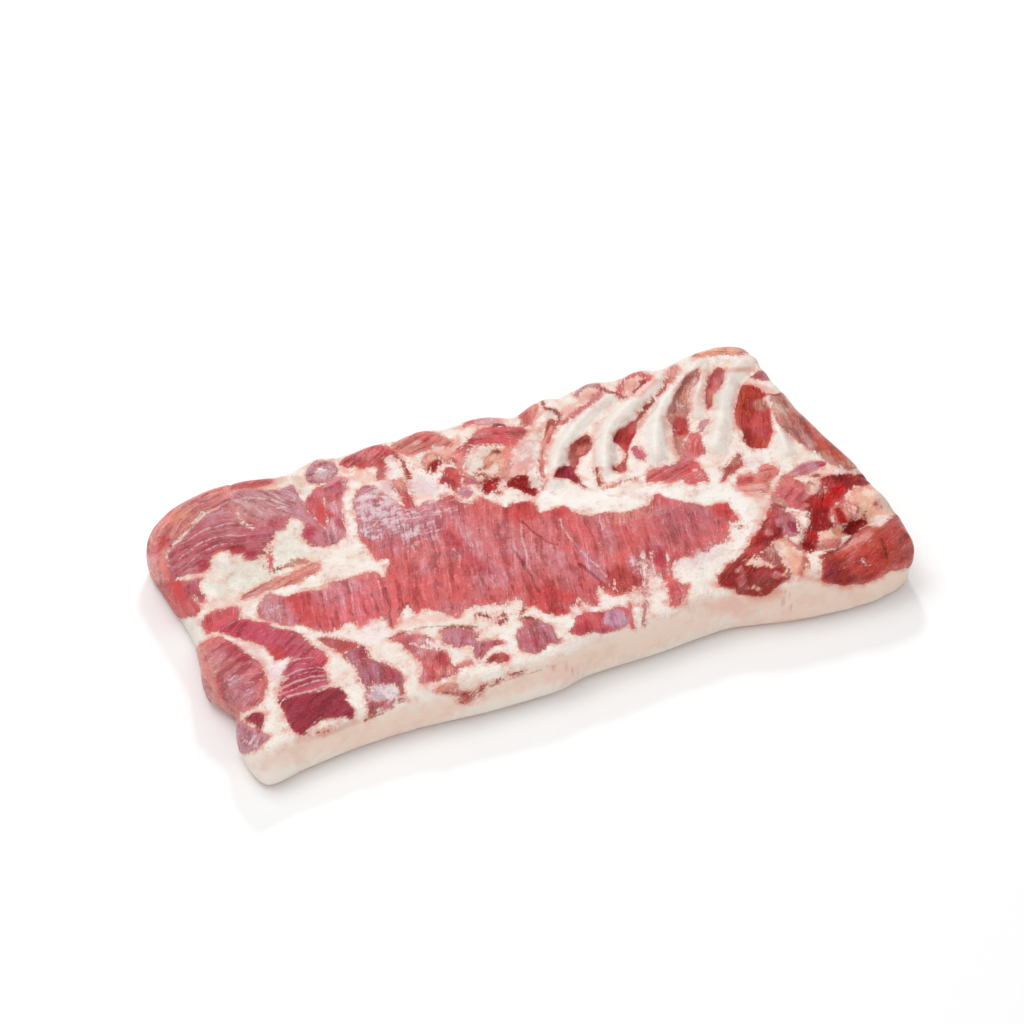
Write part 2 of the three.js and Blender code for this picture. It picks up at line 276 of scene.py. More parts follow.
LOWER_LEFT = [
    Patch("lean", "cherry", 75, 1.0, [
        (-266, 3), (-258, 8), (-245, 9), (-236, 6), (-236, -2), (-241, -9), (-250, -9), (-258, -12),
        (-265, -12), (-267, -5)]),
    Patch("lean", "deep rose", 35, 1.4, [
        (-258, -12), (-250, -8), (-241, -7), (-234, -9), (-228, -15), (-220, -20), (-215, -27),
        (-206, -34), (-200, -45), (-199, -53), (-194, -60), (-191, -68), (-194, -76), (-199, -80),
        (-199, -90), (-200, -99), (-240, -98), (-235, -88), (-231, -80), (-229, -66), (-229, -50),
        (-235, -36), (-243, -29), (-250, -22)]),
    Patch("fat", "pearl", None, 0.2, [
        (-232, -61), (-224, -60), (-213, -62), (-220, -65), (-225, -70), (-228, -79), (-234, -81),
        (-236, -70)]),
    Patch("lean", "wine", 30, 1.2, [
        (-241, -97), (-234, -99), (-200, -101), (-194, -103), (-192, -112), (-194, -118), (-193, -128),
        (-197, -136), (-204, -132), (-213, -129), (-222, -131), (-230, -134), (-237, -136),
        (-241, -128), (-240, -115)]),
    Patch("lean", "salmon", 80, 1.2, [
        (-272, -18), (-284, -30), (-292, -60), (-290, -76), (-284, -100), (-276, -112), (-271, -98),
        (-271, -72), (-274, -50), (-270, -30)]),
    Patch("lean", "rose", 25, 1.6, [
        (-275, -22), (-266, -18), (-258, -20), (-250, -31), (-246, -42), (-241, -53), (-239, -65),
        (-242, -78), (-247, -88), (-252, -95), (-262, -98), (-272, -97), (-276, -85), (-276, -65)]),
    Patch("lean", "mauve", 60, 0.8, [
        (-277, -100), (-270, -112), (-262, -122), (-258, -130), (-268, -134), (-281, -137),
        (-288, -128), (-282, -110)]),
    Patch("lean", "wine", 60, 0.6, [
        (-269, -103), (-258, -103), (-255, -108), (-259, -118), (-263, -122), (-264, -112),
        (-269, -108)]),
    Patch("lean", "brick", 45, 0.8, [
        (-192, -50), (-186, -50), (-179, -56), (-170, -63), (-166, -68), (-171, -73), (-178, -72),
        (-184, -66), (-187, -60)]),
    Patch("lean", "dusk", 72, 1.2, [
        (-180, -73), (-170, -70), (-162, -70), (-161, -78), (-163, -87), (-157, -92), (-152, -98),
        (-149, -104), (-148, -112), (-151, -122), (-153, -129), (-160, -124), (-168, -131),
        (-184, -137), (-183, -128), (-178, -116), (-180, -104), (-176, -95), (-178, -85)]),
    Patch("fat", "lilac grey", None, 0.6, [
        (-178, -114), (-171, -111), (-162, -113), (-156, -119), (-155, -126), (-162, -130),
        (-175, -129), (-180, -124)]),
    Patch("lean", "rose", 70, 1.2, [
        (-143, -70), (-134, -69), (-126, -73), (-118, -77), (-113, -85), (-113, -95), (-109, -101),
        (-109, -110), (-106, -119), (-112, -127), (-122, -127), (-134, -125), (-138, -122),
        (-132, -113), (-131, -100), (-135, -90), (-137, -80)]),
    Patch("fat", "pearl", None, 0.4, [
        (-118, -83), (-113, -88), (-111, -96), (-116, -95), (-120, -89)]),
    Patch("lean", "terracotta", 30, 2.6, [
        (-130, -134), (-120, -132), (-114, -136), (-115, -142), (-109, -146), (-100, -147), (-94, -144),
        (-100, -150), (-108, -154), (-114, -157), (-120, -154), (-119, -147), (-126, -142)]),
    Patch("lean", "plum", 60, 1.2, [
        (-104, -80), (-98, -79), (-88, -82), (-81, -87), (-80, -95), (-84, -101), (-74, -104),
        (-66, -107), (-68, -111), (-78, -112), (-84, -118), (-90, -118), (-90, -102), (-100, -100),
        (-104, -97)]),
    Patch("lean", "rust", 60, 0.8, [
        (-84, -121), (-80, -118), (-72, -119), (-68, -124), (-70, -129), (-78, -128), (-86, -125)]),
    Patch("lean", "plum", 78, 1.2, [
        (-44, -92), (-38, -90), (-34, -95), (-30, -102), (-25, -108), (-26, -118), (-24, -126),
        (-30, -126), (-35, -124), (-41, -130), (-48, -130), (-54, -124), (-57, -118), (-54, -108),
        (-50, -102), (-44, -100)]),
    Patch("lean", "cherry", 75, 1.2, [
        (-14, -116), (-8, -112), (-4, -106), (3, -105), (10, -108), (20, -111), (28, -110), (36, -117),
        (33, -124), (28, -130), (18, -132), (11, -132), (5, -132), (2, -128), (-6, -127), (-13, -124),
        (-17, -119)]),
    Patch("lean", "rose", 72, 0.8, [
        (66, -127), (70, -117), (72, -108), (76, -100), (82, -101), (84, -107), (89, -109), (85, -116),
        (80, -122), (75, -126)]),
]

MIDDLE = [
    Patch("lean", "rose", 74, 1.0, [
        (-122, -9), (-116, -1), (-111, 9), (-119, 12), (-121, 20), (-123, 40), (-118, 62), (-113, 80),
        (-106, 92), (-98, 86), (-90, 82), (-84, 74), (-78, 60), (-70, 52), (-60, 58), (-52, 55),
        (-44, 58), (-37, 55), (-33, 44), (-27, 40), (-20, 44), (-13, 38), (-6, 28), (4, 28), (14, 26),
        (19, 20), (17, 10), (27, 9), (38, 9), (40, 3), (45, -4), (55, -10), (66, -11), (75, -15),
        (88, -17), (100, -15), (112, -7), (118, -17), (126, -24), (135, -30), (142, -37), (150, -38),
        (158, -39), (158, -50), (156, -62), (148, -63), (145, -68), (138, -78), (126, -79), (118, -84),
        (112, -79), (105, -84), (96, -82), (90, -84), (84, -92), (79, -99), (74, -98), (70, -88),
        (64, -86), (58, -97), (50, -98), (38, -99), (30, -96), (25, -86), (20, -92), (16, -102),
        (11, -101), (6, -92), (2, -98), (-4, -95), (-8, -102), (-14, -100), (-20, -98), (-26, -92),
        (-27, -84), (-36, -81), (-34, -74), (-40, -70), (-50, -72), (-60, -68), (-72, -66), (-80, -66),
        (-86, -72), (-90, -68), (-97, -60), (-108, -52), (-113, -56), (-118, -47), (-126, -52),
        (-136, -62), (-134, -50), (-128, -30)]),
    Patch("lean", "warm rose", 78, 1.2, [
        (-224, -5), (-216, 6), (-208, 9), (-200, 3), (-190, 2), (-180, 1), (-166, -2), (-162, 3),
        (-150, 2), (-140, 1), (-128, 0), (-122, -9), (-124, -25), (-130, -42), (-136, -58), (-139, -50),
        (-146, -46), (-155, -50), (-165, -43), (-175, -47), (-184, -46), (-192, -38), (-199, -30),
        (-209, -27), (-216, -20), (-224, -13)]),
]

RIB_EDGE = [
    Patch("lean", "cherry", 30, 1.6, [
        (-108, 124), (-104, 131), (-92, 134), (-80, 137), (-68, 136), (-61, 128), (-59, 121),
        (-66, 121), (-72, 119), (-73, 112), (-78, 101), (-81, 96), (-86, 98), (-83, 106), (-80, 112),
        (-86, 114), (-92, 114), (-97, 118), (-104, 121)]),
    Patch("lean", "coral", 20, 1.6, [
        (-61, 128), (-54, 135), (-42, 138), (-27, 137), (-19, 130), (-16, 122), (-13, 114), (-19, 110),
        (-25, 116), (-33, 116), (-42, 114), (-50, 115), (-57, 119)]),
    Patch("lean", "rust", 30, 0.6, [
        (-104, 89), (-99, 95), (-93, 93), (-89, 86), (-89, 79), (-96, 82)]),
    Patch("lean", "salmon", 60, 1.0, [
        (-46, 94), (-44, 104), (-38, 110), (-31, 107), (-28, 99), (-32, 95), (-38, 88), (-44, 88)]),
    Patch("lean", "rust", 85, 0.8, [
        (-76, 90), (-69, 91), (-67, 75), (-69, 62), (-68, 52), (-73, 45), (-80, 45), (-78, 55),
        (-76, 68), (-77, 80)]),
    Patch("lean", "brick", 70, 0.8, [
        (-27, 90), (-22, 85), (-20, 77), (-18, 70), (-24, 69), (-28, 62), (-31, 57), (-35, 60),
        (-37, 68), (-40, 74), (-36, 81), (-32, 87)]),
    Patch("lean", "mauve", 50, 0.6, [
        (-31, 58), (-26, 61), (-21, 57), (-23, 50), (-30, 50)]),
    Patch("lean", "tan rose", 40, 0.3, [
        (-24, 69), (-18, 72), (-12, 70), (-8, 72), (-3, 70), (-2, 64), (-6, 58), (-12, 58), (-18, 62),
        (-22, 62)]),
    Patch("fat", "ivory", None, 0.6, [(-11, 69), (-6, 69), (-5, 64), (-9, 62), (-12, 65)]),
    Patch("lean", "blood", 40, 0.3, [
        (-15, 51), (-12, 57), (-5, 60), (2, 63), (8, 62), (4, 57), (-1, 53), (-4, 48), (-10, 46),
        (-14, 47)]),
    Patch("lean", "blood", 40, 0.3, [
        (4, 51), (11, 55), (20, 57), (26, 55), (25, 46), (23, 40), (27, 35), (22, 29), (17, 33),
        (14, 40), (8, 46)]),
    Patch("lean", "coral", 62, 0.8, [
        (-24, 96), (-19, 101), (-13, 104), (-10, 97), (-13, 90), (-16, 82), (-19, 74), (-23, 76),
        (-22, 86)]),
    Patch("lean", "cherry", (5, 70), 1.6, [
        (-16, 100), (-12, 106), (-4, 110), (2, 115), (8, 120), (18, 122), (26, 119), (36, 114),
        (46, 110), (49, 104), (44, 99), (38, 96), (32, 91), (26, 88), (20, 84), (24, 92), (22, 97),
        (15, 97), (8, 101), (1, 102), (-5, 100), (-11, 95)]),
    Patch("lean", "salmon", 62, 0.8, [
        (30, 92), (24, 84), (20, 76), (17, 68), (12, 61), (5, 58), (4, 62), (9, 68), (12, 76), (15, 84),
        (20, 90)]),
    Patch("lean", "terracotta", 40, 0.6, [
        (-5, 75), (0, 82), (7, 89), (15, 94), (21, 91), (18, 84), (11, 80), (4, 76)]),
    Patch("lean", "cherry", 4, 0.6, [(1, 128), (6, 133), (15, 134), (13, 129), (7, 128)]),
    Patch("lean", "blush rose", 4, 0.8, [
        (14, 127), (16, 134), (27, 132), (32, 124), (35, 117), (29, 116), (24, 122)]),
    Patch("lean", "rust", 56, 0.8, [
        (54, 86), (58, 95), (64, 103), (72, 108), (74, 103), (68, 96), (62, 88), (57, 82)]),
    Patch("lean", "coral", 50, 1.4, [
        (46, 112), (48, 121), (54, 130), (62, 133), (69, 130), (66, 122), (62, 118), (58, 112),
        (52, 108)]),
    Patch("lean", "wine", 60, -2.2, [
        (45, 43), (50, 50), (58, 52), (66, 48), (62, 42), (63, 32), (58, 28), (55, 35), (50, 40)]),
    Patch("lean", "rust", 60, -2.2, [
        (63, 52), (66, 60), (70, 67), (76, 74), (84, 77), (92, 80), (91, 71), (85, 61), (78, 58),
        (72, 56), (70, 50), (66, 49)]),
    Patch("lean", "brick", 55, -2.2, [
        (92, 34), (98, 36), (104, 39), (108, 46), (110, 55), (107, 63), (112, 71), (118, 75), (126, 77),
        (132, 80), (139, 81), (132, 73), (128, 66), (124, 60), (117, 54), (112, 47), (108, 41),
        (104, 33), (100, 27), (94, 28)]),
    Patch("lean", "deep rose", 80, 0.4, [
        (115, 50), (121, 51), (123, 44), (121, 31), (117, 35), (115, 44)]),
    Patch("lean", "tan rose", 55, -1.8, [
        (149, 26), (152, 40), (154, 48), (157, 55), (160, 65), (162, 75), (167, 83), (172, 88),
        (180, 97), (190, 107), (200, 114), (212, 118), (208, 108), (198, 100), (190, 92), (186, 84),
        (181, 76), (176, 68), (173, 58), (168, 48), (161, 43), (157, 35), (153, 25)]),
    Patch("lean", "brick", 60, -1.8, [
        (158, 57), (163, 64), (169, 70), (172, 64), (169, 55), (167, 49), (162, 50)]),
    Patch("lean", "rose", 60, 0.6, [
        (151, 21), (156, 33), (163, 41), (170, 46), (176, 43), (173, 33), (170, 21), (162, 19),
        (156, 20)]),
    Patch("lean", "mauve", 50, 0.4, [
        (176, 46), (181, 54), (188, 59), (190, 56), (184, 50), (179, 45)]),
    Patch("lean", "rust", 58, -1.4, [
        (195, 68), (198, 78), (203, 86), (208, 94), (213, 103), (220, 109), (229, 113), (231, 109),
        (226, 100), (221, 92), (213, 86), (206, 80), (200, 70)]),
    Patch("lean", "meat", 62, -1.2, [
        (205, 20), (207, 30), (210, 45), (216, 58), (222, 68), (230, 77), (237, 84), (243, 81),
        (247, 73), (248, 66), (243, 62), (244, 52), (242, 45), (238, 36), (234, 26), (229, 20),
        (222, 12), (218, 6), (211, 7), (206, 12)]),
    Patch("lean", "tan rose", 84, 1.0, [
        (242, 30), (244, 46), (249, 53), (250, 60), (258, 62), (266, 58), (266, 40), (268, 15),
        (272, -10), (276, -28), (277, -44), (262, -42), (257, -33), (253, -22), (248, -8), (243, 8),
        (241, 20)]),
    Patch("lean", "plum", 30, 0.4, [(247, 90), (252, 94), (266, 93), (266, 84), (254, 82)]),
    Patch("lean", "salmon", -20, 1.2, [
        (212, 133), (216, 137), (235, 140), (250, 136), (264, 127), (266, 119), (256, 119), (247, 123),
        (238, 127), (228, 130)]),
    Patch("lean", "rose", 10, 0.8, [
        (109, 9), (114, 15), (119, 19), (126, 20), (138, 19), (146, 21), (151, 26), (155, 23),
        (158, 14), (158, 6), (158, -6), (156, -11), (150, -9), (144, -11), (139, -6), (138, -1),
        (130, 0), (124, 1), (117, 5)]),
    Patch("lean", "rust", 35, 0.6, [
        (165, -15), (172, -8), (172, -1), (180, 1), (186, 6), (194, 9), (193, 0), (188, -6), (180, -10),
        (172, -13)]),
    Patch("lean", "coral", -15, 1.0, [
        (174, -28), (177, -19), (182, -15), (188, -14), (196, -17), (203, -11), (210, -12), (213, -18),
        (212, -26), (204, -30), (197, -38), (190, -42), (184, -36), (176, -32)]),
]

SHOULDER_END = [
    Patch("lean", "tan rose", 38, 0.4, [
        (192, -50), (198, -44), (206, -36), (214, -28), (224, -32), (236, -38), (246, -44), (238, -56),
        (226, -66), (214, -74), (204, -70), (196, -62)]),
    Patch("fat", "blush", None, 0.6, [
        (222, -36), (230, -34), (240, -36), (252, -35), (262, -38), (264, -46), (256, -45), (246, -43),
        (238, -46), (234, -54), (228, -60), (222, -58), (226, -48)]),
    Patch("lean", "cherry", 40, 1.0, [
        (200, -58), (201, -48), (208, -40), (214, -33), (221, -35), (223, -42), (220, -53), (216, -63),
        (209, -69), (202, -66)]),
    Patch("lean", "mauve", 5, 0.6, [
        (219, -30), (227, -26), (236, -23), (246, -25), (253, -28), (252, -33), (240, -34),
        (230, -35)]),
    Patch("lean", "garnet", 42, 0.8, [
        (183, -62), (189, -56), (195, -57), (199, -63), (194, -74), (189, -84), (182, -92), (172, -99),
        (160, -101), (150, -103), (140, -110), (128, -122), (118, -128), (111, -121), (112, -113),
        (122, -106), (134, -100), (144, -95), (152, -88), (163, -80), (173, -72)]),
    Patch("lean", "plum", 62, 0.6, [
        (189, -63), (195, -62), (199, -68), (201, -76), (199, -86), (195, -94), (187, -94), (182, -87),
        (184, -78)]),
    Patch("lean", "blood", 50, 0.4, [
        (238, -54), (241, -46), (248, -44), (258, -46), (268, -51), (278, -56), (277, -66), (262, -65),
        (252, -66), (245, -74), (238, -76), (232, -78), (226, -86), (224, -96), (218, -100), (210, -98),
        (205, -105), (200, -113), (192, -118), (186, -112), (188, -107), (194, -102), (200, -95),
        (207, -88), (210, -80), (214, -71), (220, -63), (228, -60), (236, -61)]),
    Patch("lean", "coral", 62, 1.4, [
        (230, -80), (234, -74), (240, -75), (246, -73), (250, -80), (246, -92), (240, -99), (231, -100),
        (226, -96), (227, -87)]),
    Patch("fat", "white", None, 0.8, [
        (198, -68), (204, -70), (208, -76), (206, -86), (199, -95), (196, -92), (200, -82)]),
    Patch("fat", "peach", None, 3.0, [
        (246, -78), (252, -72), (260, -67), (274, -69), (284, -84), (282, -98), (270, -103),
        (256, -102), (248, -100), (241, -98), (243, -88)]),
    Patch("fat", "ivory", None, 2.0, [
        (250, -105), (256, -101), (266, -103), (272, -108), (262, -111), (254, -113)]),
    Patch("lean", "pit", 20, -2.0, [
        (225, -107), (228, -102), (234, -100), (240, -98), (247, -101), (248, -105), (241, -108),
        (236, -111), (229, -112)]),
    Patch("fat", "peach", None, 2.0, [
        (206, -106), (209, -101), (216, -99), (226, -101), (223, -108), (219, -113), (210, -113)]),
    Patch("lean", "coral", 30, 1.6, [
        (200, -115), (205, -110), (212, -112), (219, -113), (217, -119), (208, -121)]),
    Patch("lean", "garnet", 35, 1.2, [
        (111, -122), (116, -113), (122, -108), (130, -103), (140, -99), (150, -101), (160, -101),
        (167, -104), (168, -112), (166, -120), (169, -128), (162, -136), (152, -139), (146, -142),
        (138, -146), (130, -144), (124, -138), (118, -136), (119, -128)]),
    Patch("lean", "tan rose", 60, 0.8, [
        (157, -103), (164, -98), (169, -104), (168, -113), (164, -118), (159, -112)]),
    Patch("fat", "blush", None, 0.8, [
        (140, -107), (145, -103), (152, -105), (157, -112), (159, -119), (152, -116), (145, -114)]),
    Patch("fat", "peach", None, 0.6, [(157, -131), (160, -127), (164, -129), (162, -133)]),
    Patch("fat", "blush", None, 0.4, [(131, -134), (134, -131), (138, -136), (134, -139)]),
    Patch("fat", "peach", None, 1.2, [
        (168, -98), (176, -92), (182, -97), (180, -108), (186, -118), (184, -127), (176, -136),
        (167, -138), (171, -128), (171, -115), (170, -105)]),
    Patch("lean", "meat", 25, 1.8, [
        (184, -148), (190, -140), (195, -130), (198, -123), (207, -123), (216, -122), (228, -117),
        (236, -111), (247, -108), (255, -113), (263, -109), (276, -105), (282, -118), (278, -136),
        (270, -149), (260, -160), (248, -162), (232, -161), (220, -164), (208, -163), (197, -160),
        (190, -154)]),
]

# Narrow strips of lean or fat.
STRANDS = [
    Strand("lean", "rose", 1.5, [(-193, 54), (-196, 45), (-200, 37)]),
    Strand("lean", "tan rose", 1.6, [(-197, 33), (-188, 33), (-180, 35), (-170, 31)]),
    Strand("fat", "pearl", 1.3, [
        (-103, 114), (-113, 97), (-118, 88), (-122, 75), (-127, 58), (-131, 42)]),
    Strand("fat", "pearl", 0.8, [(-200, 110), (-201, 98), (-199, 88), (-195, 82)]),
    Strand("fat", "pearl", 0.9, [(-128, -84), (-121, -92), (-113, -97)]),
    Strand("lean", "coral", 2.4, [(-112, -120), (-104, -119), (-97, -118)]),
    Strand("lean", "rust", 2.4, [(-112, -147), (-107, -151), (-101, -148)]),
    Strand("lean", "coral", 0.8, [(76, 16), (86, 15), (96, 17), (104, 15)]),
    Strand("lean", "umber", 0.4, [(-236, -137), (-222, -140), (-206, -138)]),
    Strand("fat", "white", 2.2, [(198, -66), (205, -70), (207, -77), (205, -86), (199, -93)]),
    Strand("lean", "umber", 0.9, [(-189, -142), (-182, -140), (-176, -137), (-169, -135)]),
    Strand("lean", "mauve", 1.8, [(-171, -136), (-164, -133), (-156, -133)]),
    Strand("lean", "umber", 0.8, [(-104, -148), (-97, -145), (-85, -144), (-65, -143)]),
    Strand("lean", "umber", 0.7, [(-99, -79), (-90, -81), (-83, -86)]),
    Strand("lean", "umber", 1.5, [(-71, -76), (-66, -79)]),
    Strand("lean", "umber", 1.4, [(-60, -89), (-54, -88)]),
    Strand("lean", "rust", 1.4, [(-56, -83), (-52, -84)]),
    Strand("lean", "umber", 1.2, [(-36, -82), (-41, -89), (-37, -93), (-33, -97)]),
    Strand("lean", "rose", 1.8, [(39, -112), (34, -122), (30, -135)]),
    Strand("lean", "mauve", 1.2, [(47, -116), (43, -126), (39, -136)]),
    Strand("lean", "mauve", 1.4, [(66, -84), (58, -97), (51, -112), (46, -122)]),
    Strand("lean", "rose", 1.4, [(84, -88), (79, -99), (74, -106)]),
    Strand("fat", "pearl", 1.2, [(72, -62), (67, -76), (60, -94), (52, -112)]),
    Strand("fat", "pearl", 1.0, [(79, -66), (73, -82), (67, -98)]),
    Strand("fat", "pearl", 0.9, [(90, -72), (84, -86), (80, -96)]),
    Strand("fat", "pearl", 0.8, [(36, -84), (33, -92), (30, -99)]),
    Strand("lean", "umber", 1.0, [(-62, 120), (-59, 108), (-60, 98), (-64, 86)]),
    Strand("lean", "tan rose", 1.3, [(-29, 103), (-27, 97), (-23, 91)]),
    Strand("lean", "blood", 2.0, [(-42, 91), (-38, 95), (-33, 97)]),
    Strand("lean", "plum", 2.4, [(-20, 67), (-17, 65)]),
    Strand("lean", "umber", 0.9, [(-10, 72), (-5, 67), (-7, 62)]),
    Strand("lean", "umber", 1.0, [(-5, 76), (-1, 78)]),
    Strand("lean", "umber", 1.0, [(12, 87), (16, 89)]),
    Strand("lean", "umber", 1.2, [(-6, 46), (-3, 44)]),
    Strand("lean", "umber", 1.2, [(25, 120), (31, 118), (34, 116)]),
    Strand("lean", "umber", 1.3, [(74, 132), (73, 124), (80, 115), (78, 105), (70, 97)]),
    Strand("lean", "coral", 1.0, [(31, 34), (36, 42), (39, 54), (46, 68), (56, 86), (68, 99)]),
    Strand("lean", "rose", 2.0, [(78, 100), (90, 106), (100, 111), (113, 116), (122, 122)]),
    Strand("lean", "mauve", 1.6, [(102, 128), (109, 132), (117, 136), (125, 132)]),
    Strand("lean", "rust", 2.2, [(125, 132), (130, 122), (136, 117), (138, 110)]),
    Strand("lean", "rose", 2.2, [(139, 118), (145, 127), (154, 133), (164, 131), (169, 124)]),
    Strand("lean", "cherry", 2.4, [(160, 122), (167, 122)]),
    # Painted shadow: a dark line along the upper-left edge of a rib bar.
    Strand("lean", "umber", 1.0, [(147, 113), (155, 117), (162, 120)]),
    Strand("lean", "salmon", 2.6, [(180, 113), (188, 118), (194, 128)]),
    # Painted shadow: this and the next two strands are dark lines along the upper-left edges of rib
    # bars.
    Strand("lean", "umber", 1.6, [(137, 80), (146, 87), (154, 92), (160, 97)]),
    Strand("lean", "rust", 0.9, [(158, 96), (168, 103), (178, 110)]),
    Strand("lean", "umber", 1.2, [(74, 20), (78, 30), (80, 38)]),
    Strand("lean", "rust", 1.4, [(60, 30), (63, 22)]),
    Strand("lean", "umber", 0.8, [(250, 65), (257, 61), (264, 60)]),
    Strand("fat", "ivory", 1.2, [(151, 6), (153, 1), (151, -4)]),
    Strand("lean", "coral", 2.2, [(182, -95), (184, -103), (187, -110), (189, -114)]),
    Strand("lean", "terracotta", 1.8, [(187, -114), (185, -122), (180, -129), (174, -134)]),
    Strand("fat", "white", 1.3, [(206, -141), (207, -142)]),
    Strand("fat", "white", 1.6, [(224, -143), (225, -144)]),
    Strand("lean", "blood", 2.0, [
        (204, -123), (212, -122), (221, -120), (229, -115), (235, -110)]),
    Strand("lean", "bright blood", 2.0, [(234, -83), (233, -90), (231, -96)]),
    Strand("lean", "rust", 0.7, [(243, -98), (247, -91), (250, -84)]),
    Strand("lean", "rust", 0.5, [(249, -99), (253, -91)]),
    Strand("lean", "rust", 0.6, [(266, -88), (268, -94)]),
    Strand("lean", "umber", 1.2, [(235, -38), (240, -41)]),
    Strand("lean", "rust", 0.8, [(229, -45), (231, -49)]),
    Strand("lean", "umber", 1.0, [(191, -58), (194, -60)]),
    Strand("lean", "pit", 2.2, [(176, -87), (181, -84)]),
    Strand("lean", "umber", 0.9, [(154, -66), (158, -69)]),
]

# Pale threads of sinew, and creases darkened with painted shade, over lean and fat alike: half the
# width, and route.
SINEWS = [
    (0.5, [(-224, -64), (-212, -65), (-202, -69)]),
    (0.4, [(-228, -71), (-216, -70), (-203, -74)]),
    (0.6, [(-230, -78), (-216, -77), (-200, -80)]),
    (0.4, [(-232, -83), (-214, -81), (-200, -84)]),
    (0.7, [(-236, -88), (-226, -87), (-214, -86), (-201, -88)]),
    (0.7, [(-238, -93), (-228, -93), (-212, -91), (-200, -93)]),
    (0.9, [(-234, -98), (-222, -98), (-208, -99), (-196, -99)]),
    (0.7, [(-3, 1), (-8, -14), (-12, -28), (-18, -46)]),
    (0.7, [(28, -4), (27, -16), (27, -28), (28, -40)]),
    (0.9, [(29, -44), (31, -56), (34, -68), (34, -78)]),
    (0.8, [(-112, 80), (-99, 81), (-88, 74)]),
    (0.6, [(-104, 90), (-94, 74), (-97, 60)]),
    (0.7, [(-83, 74), (-92, 60), (-108, 46)]),
    (0.5, [(-116, 60), (-105, 52), (-92, 44)]),
    (0.5, [(-91, 47), (-73, 43), (-57, 39)]),
    (0.6, [(-90, 63), (-78, 55), (-66, 42)]),
    (0.5, [(-58, 59), (-55, 48), (-57, 34)]),
    (0.5, [(-93, 38), (-86, 30), (-77, 22)]),
    (0.4, [(-275, -65), (-256, -65), (-240, -67)]),
    (0.5, [(-276, -56), (-269, -61), (-265, -67), (-265, -74)]),
    (0.4, [(-275, -75), (-257, -73), (-244, -74)]),
    (0.4, [(-274, -86), (-261, -84), (-250, -85)]),
    (0.5, [(-62, -2), (-60, -12), (-66, -24)]),
    (0.5, [(-42, 18), (-45, 4), (-50, -10)]),
    (0.6, [(-262, 72), (-250, 79), (-236, 84), (-220, 83), (-205, 77)]),
    (0.5, [(-258, 64), (-245, 71), (-230, 75), (-215, 73)]),
    (0.5, [(-252, 88), (-236, 94), (-218, 96), (-200, 92)]),
    (0.7, [(-190, 118), (-178, 112), (-168, 104), (-160, 94)]),
    (0.6, [(-128, -12), (-130, -22), (-131, -30)]),
    (0.5, [(-158, -40), (-152, -20), (-148, -4)]),
]

# Creases: sunk into the relief, and darkened in colour with painted shade.
SHADED_CREASES = [
    (0.3, [(-125, -20), (-129, -38), (-134, -52), (-137, -63)]),
    (0.4, [(0, 5), (4, -12), (9, -24), (15, -30)]),
    (0.8, [(-19, -24), (-18, -40), (-18, -58), (-20, -72)]),
    (0.7, [(21, -56), (25, -68), (28, -78)]),
    (0.3, [
        (-262, 90), (-252, 97), (-240, 106), (-230, 113), (-216, 120), (-202, 123)]),
    (0.2, [(-200, 33), (-193, 32), (-187, 33)]),
    (0.2, [(-270, 100), (-262, 106), (-254, 114)]),
    (0.8, [(206, -123), (213, -122), (222, -119), (230, -113)]),
    (0.8, [(250, -125), (245, -138), (241, -149)]),
    (0.3, [(-143, -70), (-132, -70), (-120, -70), (-99, -76), (-77, -87)]),
    (0.7, [
        (-128, -139), (-117, -145), (-107, -150), (-95, -149), (-82, -147), (-67, -147), (-52, -148)]),
    (0.6, [(-188, -143), (-173, -140), (-156, -135)]),
]

